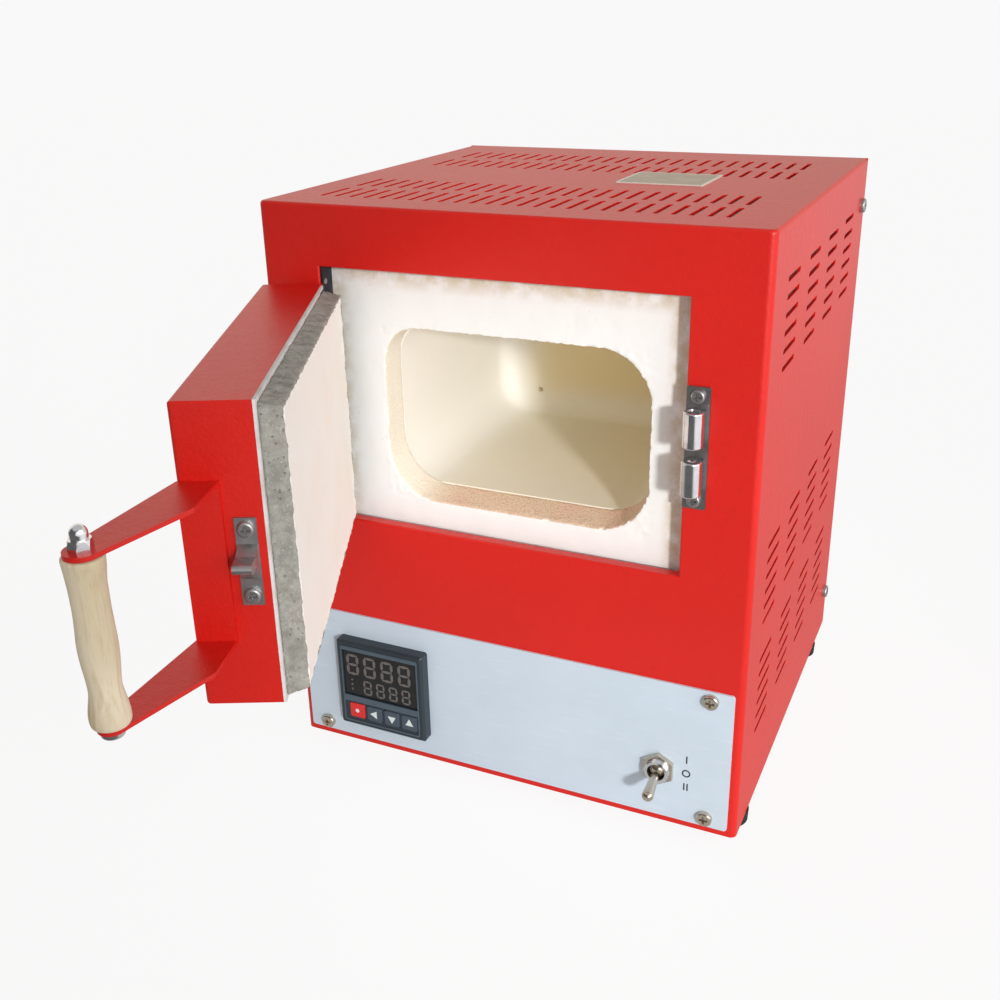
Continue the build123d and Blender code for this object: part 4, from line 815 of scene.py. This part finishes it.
# ---- operators ----
class KILN_OT_stage(bpy.types.Operator):
    """Sets the floor, the lamps, the surroundings and the camera"""

    bl_idname = "kiln.stage"
    bl_label = "Stage"

    def execute(self, context):
        stage = context.scene.kiln_stage
        self.add_camera(context.scene)
        self.add_floor(stage)
        self.add_surroundings(context.scene, stage)
        self.add_lamps(context.scene, stage)
        context.scene.view_settings.view_transform = "Standard"
        return {"FINISHED"}

    def add_camera(self, scene):
        """The viewpoint of the photograph: right of the kiln, above it and in front."""
        data = bpy.data.cameras.new("viewpoint")
        data.lens = 41.65177
        data.shift_x = -0.00230087
        data.shift_y = -0.01804443
        data.clip_start = 0.01
        camera = bpy.data.objects.new("viewpoint", data)
        scene.collection.objects.link(camera)
        right = Vector((0.9094916, 0.4152812, -0.0191441))
        up = Vector((-0.1427649, 0.3552504, 0.9238048))
        behind = Vector((0.3904398, -0.8374596, 0.3823848))
        place = Matrix.Translation((0.2029985, -0.4352050, 0.3632106))
        camera.matrix_world = place @ Matrix((right, up, behind)).transposed().to_4x4()
        scene.camera = camera

    def add_floor(self, stage):
        """A pale floor that keeps the shadow. The camera sees it white; to metal it shows a painted
        reflection, a glow that is dark in front, grey near the kiln and white on the right.
        """
        deselect()
        bpy.ops.mesh.primitive_plane_add(size=stage.floor_size, location=(0, 0, 0))
        floor = named("studio_floor")
        f = Finish("studio_floor_paint", Roughness=0.9, Specular_IOR_Level=0.1)
        paper = f.noise(40, 2.0)
        f.done(f.mix(paper, paint(244, 244, 244), paint(247, 247, 247)))
        seen, mirrored = f.rays()
        x, y = (f.axis(letter) for letter in "XY")
        # Painted reflection: what glossy rays see of the floor is a glow, dark in front, grey near the kiln
        # and white on the right.
        room = f.blend(y, (0.08, 0.08, 0.08, 1), (0.52, 0.51, 0.49, 1), -0.35, -0.15)
        room = f.blend(x, room, (1, 1, 1, 1), 0.32, 0.48)
        shown = f.node("ShaderNodeEmission", {}, f.mix(seen, room, (1, 1, 1, 1)), Strength=1.0)
        share = 0.9 * (seen + mirrored)
        both = f.node("ShaderNodeMixShader", {}, share, Field(f, f.shader.outputs[0]), shown)
        f.feed(f.tree.nodes["Material Output"].inputs["Surface"], both)
        floor.data.materials.append(f.material)

    def add_surroundings(self, scene, stage):
        """White behind the kiln; metal also shows a dim room in front and a white card on its right."""
        world = bpy.data.worlds.new("studio_room")
        world.use_nodes = True
        scene.world = world
        world.node_tree.nodes.clear()
        n = Nodes(world.node_tree)
        way = n.node("ShaderNodeTexCoord", give="Generated")
        across, ahead, rise = (n.axis(letter, way) for letter in "XYZ")
        seen, mirrored = n.rays()
        fill = n.blend(rise, (1.0, 0.965, 0.90, 1), (0.74, 0.72, 0.68, 1), 0.0, 0.8)
        depth = n.blend(ahead, (0.10, 0.10, 0.10, 1), (1.0, 0.93, 0.82, 1), -0.3, 0.1)
        corner = n.between(across, -0.6, 0.3) * n.between(ahead, 0.2, 0.6)
        shaded = n.mix(corner, depth, (0.78, 0.72, 0.64, 1))
        towards_card = 0.66 * across - 0.73 * ahead + 0.18 * rise
        room = n.blend(towards_card, shaded, (1.0, 1.0, 1.0, 1), 0.86, 0.92)
        room = n.blend(rise, room, (0.55, 0.55, 0.55, 1), 0.5, 0.8)
        soft = n.node("ShaderNodeBackground", {}, fill, Strength=stage.fill_power)
        shown = n.node("ShaderNodeBackground", {}, room, Strength=1.0)
        white = n.node("ShaderNodeBackground", {}, (0.945, 0.945, 0.945, 1), Strength=1.0)
        both = n.node("ShaderNodeMixShader", {}, mirrored, soft, shown)
        both = n.node("ShaderNodeMixShader", {}, seen, both, white)
        n.node("ShaderNodeOutputWorld", {}, Surface=both)

    def add_lamps(self, scene, stage):
        """A key lamp from the right front, whose beam fades to the left, and a wide lamp on the right."""
        key_aim = (-0.616, 0.743, -0.263)
        side_aim = (-0.93, 0.22, -0.30)
        key = self.lamp(scene, "key_lamp", "SPOT", stage.key_power, key_aim)
        key.location = (1.475, -1.634, 0.728)
        key.data.shadow_soft_size = stage.key_radius
        key.data.spot_size = stage.key_width
        key.data.spot_blend = 0.8
        side = self.lamp(scene, "side_lamp", "SUN", stage.side_power, side_aim)
        side.data.angle = math.radians(60)

    def lamp(self, scene, name, kind, power, towards):
        data = bpy.data.lights.new(name, kind)
        data.energy = power
        holder = bpy.data.objects.new(name, data)
        holder.rotation_euler = Vector(towards).to_track_quat("-Z", "Y").to_euler()
        scene.collection.objects.link(holder)
        return holder


class KILN_OT_finishes(bpy.types.Operator):
    """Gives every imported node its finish"""

    bl_idname = "kiln.finishes"
    bl_label = "Finishes"

    def execute(self, context):
        left = set(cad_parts)
        for maker, nodes in FINISHES.items():
            for node in nodes:
                for material_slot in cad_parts[node].material_slots:
                    material_slot.material = finish_of(maker)
                left.discard(node)
        if left:
            raise RuntimeError("these nodes have no finish: " + ", ".join(sorted(left)))
        return {"FINISHED"}


class KILN_OT_front_board(bpy.types.Operator):
    """Models the front board with its worn, sawn mouth"""

    bl_idname = "kiln.front_board"
    bl_label = "Front board"

    def execute(self, context):
        sizes = context.scene.kiln_sizes
        board = add_box("front_board", BOARD_LOW, BOARD_HIGH)
        low, high = mouth()
        low.y = BOARD_LOW.y - mm
        high.y = BOARD_HIGH.y + 0.1 * mm
        cutter = add_box("mouth_cutter", low, high)
        centre = middle_of(low, high)

        def corner(at, way):
            return abs(way.y) > 0.9 and (at.x > centre.x or at.z < centre.z)

        def small_corner(at, way):
            return abs(way.y) > 0.9 and at.x < low.x + mm and at.z > high.z - mm

        with editing(cutter, "EDGE"):
            choose(cutter, "edges", lambda at, way: at.y > high.y - mm and at.z < low.z + mm)
            bpy.ops.transform.translate(value=(0, 0, sizes.floor_rise))
            choose(cutter, "edges", corner)
            bpy.ops.mesh.bevel(offset=sizes.mouth_corner, segments=14, affect="EDGES")
            choose(cutter, "edges", small_corner)
            bpy.ops.mesh.bevel(offset=sizes.mouth_small_corner, segments=12, affect="EDGES")
        cut_away(board, cutter)
        modify(board, "REMESH", mode="VOXEL", voxel_size=sizes.board_grain)

        def near_mouth(p, margin):
            return low.x - margin < p.x < high.x + margin and low.z - margin < p.z < high.z + margin

        def at_edge(p):
            return near_mouth(p, 1.5 * mm) and p.y < BOARD_LOW.y + 2 * mm

        roughen(board, 1.8 * mm, sizes.mouth_wear, mark_group(board, "mouth_edge", at_edge))
        roughen(board, 9 * mm, 0.5 * mm)
        smooth(board, 60)
        finish_piece(board, "kiln", "white_fibre", board_face, sawn_lip)
        with editing(board):
            choose(board, "faces", lambda at, out: abs(out.y) < 0.8 and near_mouth(at, 2 * mm))
            board.active_material_index = 1
            bpy.ops.object.material_slot_assign()
        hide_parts("front_brick")
        return {"FINISHED"}


class KILN_OT_door_board(bpy.types.Operator):
    """Models the door's tapered board and the rough cement round its sides"""

    bl_idname = "kiln.door_board"
    bl_label = "Door board"

    def execute(self, context):
        sizes = context.scene.kiln_sizes
        low, high = door_box("slab_cement_edge")
        board_inset = 0.6 * mm
        board = self.tapered("door_board", low, high, sizes, board_inset)
        modify(board, "REMESH", mode="VOXEL", voxel_size=sizes.board_grain)
        outer = self.tapered("cement_skim", low, high, sizes, 0.0)
        inner = self.tapered("skim_cutter", low, high, sizes, sizes.skim_thickness)
        inner.scale = (1, 1.2, 1)
        settle(inner)
        cut_away(outer, inner)
        modify(outer, "REMESH", mode="VOXEL", voxel_size=sizes.skim_grain)
        roughen(outer, 1.6 * mm, sizes.skim_lump * 0.5)
        roughen(outer, 5.0 * mm, sizes.skim_lump)
        rim, rim_depth = 5 * mm, 2 * mm

        def at_rim(p):
            inside = low.x + rim < p.x < high.x - rim and low.z + rim < p.z < high.z - rim
            return p.y > high.y - rim_depth and not inside

        roughen(board, 4.0 * mm, 0.9 * mm, mark_group(board, "rim", at_rim))
        roughen(board, 14 * mm, 0.4 * mm)
        for piece in (board, outer):
            smooth(piece, 60)
            put(piece, HINGE, (0, 0, -DOOR_ANGLE))
        finish_piece(board, "door", "white_fibre", slab_face)
        finish_piece(outer, "door", "grey_cement", cement_skim)
        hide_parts("door_slab")
        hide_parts("slab_cement_edge")
        return {"FINISHED"}

    def tapered(self, name, low, high, sizes, inset):
        """A box in the door's frame whose outward side is smaller all round by the taper."""
        margin = Vector((inset, 0, inset))
        piece = add_box(name, low + margin, high - margin)
        with editing(piece):
            choose(piece, "faces", lambda at, out: out.y > 0.9)
            size = high - low - 2 * margin
            middle = middle_of(low, high)
            bpy.ops.transform.resize(
                value=(1 - 2 * sizes.slab_taper / size.x, 1, 1 - 2 * sizes.slab_taper / size.z),
                center_override=(middle.x, high.y, middle.z),
            )
        return piece


class KILN_OT_grip(bpy.types.Operator):
    """Models the turned wooden grip"""

    bl_idname = "kiln.grip"
    bl_label = "Grip"

    def execute(self, context):
        middle = middle_of(GRIP_LOW, GRIP_HIGH)
        tall = GRIP_HIGH.z - GRIP_LOW.z
        # Each station's share of the height, and its radius in millimetres.
        shape = (
            (0.000, 5.2), (0.012, 6.0), (0.03, 6.35), (0.07, 6.4), (0.13, 5.9), (0.20, 5.1), (0.26, 5.05),
            (0.33, 5.45), (0.41, 5.9), (0.50, 6.1), (0.58, 5.8), (0.67, 5.55), (0.76, 5.6), (0.85, 5.75),
            (0.92, 6.2), (0.97, 6.45), (0.99, 6.4), (1.0, 6.2),
        )
        bolt_room, end, core = 2.15 * mm, 1.5 * mm, 4 * mm
        grip = turned("wooden_grip", [(share * tall, radius * mm) for share, radius in shape])
        modify(grip, "SUBSURF", levels=2, render_levels=2)
        drill(grip, bolt_room, tall, 24)
        put(grip, (middle.x, middle.y, GRIP_LOW.z))

        def outside(p):
            return (p - middle).xy.length > core and GRIP_LOW.z + end < p.z < GRIP_HIGH.z - end

        roughen(grip, 11 * mm, 0.5 * mm, mark_group(grip, "outside", outside))
        smooth(grip, 45)
        finish_piece(grip, "door", "pale_wood", turned_wood)
        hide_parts("handle_grip")
        return {"FINISHED"}


class KILN_OT_controller_face(bpy.types.Operator):
    """Models the controller's fascia, its unlit digits and the signs on its keys"""

    bl_idname = "kiln.controller_face"
    bl_label = "Controller face"

    def execute(self, context):
        sizes = context.scene.kiln_sizes
        self.add_fascia()
        self.add_digits(sizes)
        self.add_key_signs()
        return {"FINISHED"}

    def add_fascia(self):
        """A thin raised frame round the window, with a bar above the keys."""
        rim, room = 2.6 * mm, 0.2 * mm
        proud, sunk = 0.35 * mm, 0.05 * mm
        low = BEZEL_LOW + Vector((rim, -proud, rim))
        high = Vector((BEZEL_HIGH.x - rim, BEZEL_LOW.y + sunk, BEZEL_HIGH.z - rim))
        fascia = add_box("controller_fascia", low, high)
        round_corners(fascia, 1.2 * mm, 4)
        keys_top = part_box("set_button")[1].z

        def cutter(name, bottom, top):
            left, right = WINDOW_LOW.x - room, WINDOW_HIGH.x + room
            return add_box(name, (left, low.y - mm, bottom), (right, high.y + mm, top))

        window = cutter("window_cutter", WINDOW_LOW.z - room, WINDOW_HIGH.z + room)
        keys = cutter("keys_cutter", low.z + 0.8 * mm, keys_top + 0.5 * mm)
        round_corners(keys, 0.8 * mm, 3)
        cut_away(fascia, window, keys)
        edges = {"limit_method": "ANGLE", "angle_limit": math.radians(50)}
        modify(fascia, "BEVEL", width=0.12 * mm, segments=2, **edges)
        smooth(fascia, 35)
        finish_piece(fascia, "kiln", "dark_plastic", fascia_film)

    def add_digits(self, sizes):
        """Two rows of seven-segment digits, all alike, on the window's face."""
        centre = middle_of(WINDOW_LOW, WINDOW_HIGH)
        digit_face = WINDOW_LOW.y - 0.01 * mm
        # Each row's height of digits, first place, pitch and height above the window's middle.
        rows = (
            (sizes.digit_height, -15.6 * mm, 9.85 * mm, 4.8 * mm),
            (sizes.small_digit_height, -7.6 * mm, 7.35 * mm, -7.4 * mm),
        )
        digit = self.digit()
        made = []
        for height, first, pitch, rise in rows:
            for i in range(4):
                place = (centre.x + first + pitch * i, digit_face, centre.z + rise)
                made.append(copy_of(digit, "display_digit", place, (height, height, height)))
        wide, narrow = 0.55 * mm, 0.4 * mm
        lamp = turned("display_lamp", [(0, wide), (0.04 * mm, wide), (0.06 * mm, narrow)], 16)
        put(lamp, (0, 0, 0), FACING_FRONT)
        lamps_x, lamps_top, lamps_pitch = -16.6 * mm, -4.2 * mm, 2.7 * mm
        for i in range(3):
            place = (centre.x + lamps_x, WINDOW_LOW.y, centre.z + lamps_top - lamps_pitch * i)
            made.append(copy_of(lamp, "display_lamp_copy", place))
        bpy.data.objects.remove(digit)
        bpy.data.objects.remove(lamp)
        display = join("display_digits", *made)
        finish_piece(display, "kiln", "dark_plastic", unlit_segment)

    def digit(self):
        """One digit of unit height, centred, facing -Y."""
        thick = 0.13
        width = 0.46
        gap = 0.03
        long = 0.5 - thick / 2 - gap
        proud = 0.006
        bar = disc("segment", 6, 1, turn=FACING_FRONT)
        thicken(bar, (0, -proud, 0))
        box = Vector([max(v.co[i] for v in bar.data.vertices) for i in range(3)])
        bars = []
        for x, z, upright in (
            (0, 0.5 - thick / 2, False), (0, 0, False), (0, -0.5 + thick / 2, False),
            (-width / 2, 0.25 - thick / 8, True), (width / 2, 0.25 - thick / 8, True),
            (-width / 2, -0.25 + thick / 8, True), (width / 2, -0.25 + thick / 8, True),
        ):
            wide, tall = (thick / 2, long / 2) if upright else (width / 2, thick / 2)
            bars.append(copy_of(bar, "segment_copy", (x, 0, z), (wide / box.x, 1, tall / box.z)))
        bpy.data.objects.remove(bar)
        return join("digit", *bars)

    def add_key_signs(self):
        """A dot on the first key and an arrow head on each of the others."""
        turns = {"left": math.pi / 2, "down": math.pi, "up": 0.0}
        arrow, dot = (3, 2.6 * mm), (24, 1.1 * mm)  # sides and radius
        thick, sunk = 0.05 * mm, 0.01 * mm
        for key in KEYS:
            low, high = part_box(key + "_button")
            sign = disc(key + "_key_sign", *(arrow if key in turns else dot))
            thicken(sign, (0, 0, thick))
            centre = middle_of(low, high)
            put(sign, (0, 0, 0), FACING_FRONT)
            put(sign, (centre.x, low.y + sunk, centre.z), (0, -turns.get(key, 0), 0))
            finish_piece(sign, key + "_key", "label_grey", key_print)


class KILN_OT_switch(bpy.types.Operator):
    """Models the switch's threaded bushing and the marks for its three positions"""

    bl_idname = "kiln.switch"
    bl_label = "Switch"

    def execute(self, context):
        sizes = context.scene.kiln_sizes
        self.add_bushing(sizes)
        self.add_marks(sizes)
        return {"FINISHED"}

    def add_bushing(self, sizes):
        """A bored bushing whose outside is drawn out as thread ridges."""
        centre = middle_of(BUSHING_LOW, BUSHING_HIGH)
        radius = (BUSHING_HIGH.x - BUSHING_LOW.x) / 2
        long = BUSHING_HIGH.y - BUSHING_LOW.y
        pitch = sizes.thread_pitch
        thread_depth = 0.38 * mm
        lever_room = 4.2 * mm
        stations = [(0, radius - 0.45 * mm), (0.4 * mm, radius - 0.05 * mm)]
        for i in range(int((long - mm) / pitch)):
            start = 0.5 * mm + pitch * i
            stations += [(start + pitch * 0.25, radius), (start + pitch * 0.75, radius - thread_depth)]
        stations.append((long, radius))
        bushing = turned("threaded_bushing", stations, 64)
        drill(bushing, lever_room, long, 48)
        put(bushing, (centre.x, BUSHING_LOW.y, centre.z), (-math.pi / 2, 0, 0))
        smooth(bushing, 30)
        finish_piece(bushing, "kiln", "bright_steel", bright_plating)
        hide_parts("toggle_bushing")

    def add_marks(self, sizes):
        """One stroke, a ring and two strokes, right of the lever."""
        centre = middle_of(BUSHING_LOW, BUSHING_HIGH)
        x = centre.x + 13 * mm
        step = 7.4 * mm
        tall = sizes.mark_height
        wide = tall * 0.16
        depth = 0.06 * mm

        def stroke(at_x, at_z):
            middle, half = Vector((at_x, PLATE_FACE, at_z)), Vector((wide, 2 * depth, tall)) / 2
            mark = add_box("switch_mark", middle - half, middle + half)
            round_corners(mark, wide * 0.4, 3)
            return mark

        ring = disc("switch_ring", 40, tall / 2, turn=FACING_FRONT)
        with editing(ring):
            bpy.ops.mesh.select_all(action="SELECT")
            bpy.ops.mesh.inset(thickness=wide)
            bpy.ops.mesh.delete(type="FACE")
        modify(ring, "SOLIDIFY", thickness=depth * 2, offset=0)
        put(ring, (x, PLATE_FACE, centre.z))
        marks = join(
            "switch_marks", stroke(x, centre.z + step), ring,
            stroke(x - wide * 1.2, centre.z - step), stroke(x + wide * 1.2, centre.z - step),
        )
        finish_piece(marks, "kiln", "black_plastic", printed_mark)


class KILN_PT_panel(bpy.types.Panel):
    bl_idname = "KILN_PT_panel"
    bl_label = "Bench kiln"
    bl_space_type = "VIEW_3D"
    bl_region_type = "UI"
    bl_category = "Kiln"

    def draw(self, context):
        for operator in OPERATORS:
            self.layout.operator(operator.bl_idname)
        for group in (context.scene.kiln_sizes, context.scene.kiln_colours, context.scene.kiln_stage):
            for name in group.__annotations__:
                self.layout.prop(group, name)


OPERATORS = (
    KILN_OT_stage, KILN_OT_finishes, KILN_OT_front_board, KILN_OT_door_board, KILN_OT_grip,
    KILN_OT_controller_face, KILN_OT_switch,
)
CLASSES = (KilnSizes, KilnColours, KilnStage, *OPERATORS, KILN_PT_panel)


def register():
    for cls in CLASSES:
        bpy.utils.register_class(cls)
    bpy.types.Scene.kiln_sizes = PointerProperty(type=KilnSizes)
    bpy.types.Scene.kiln_colours = PointerProperty(type=KilnColours)
    bpy.types.Scene.kiln_stage = PointerProperty(type=KilnStage)


def unregister():
    del bpy.types.Scene.kiln_stage
    del bpy.types.Scene.kiln_colours
    del bpy.types.Scene.kiln_sizes
    for cls in reversed(CLASSES):
        bpy.utils.unregister_class(cls)


def main():
    register()
    for operator in OPERATORS:
        group, name = operator.bl_idname.split(".")
        getattr(getattr(bpy.ops, group), name)()


if __name__ == "__main__":
    main()
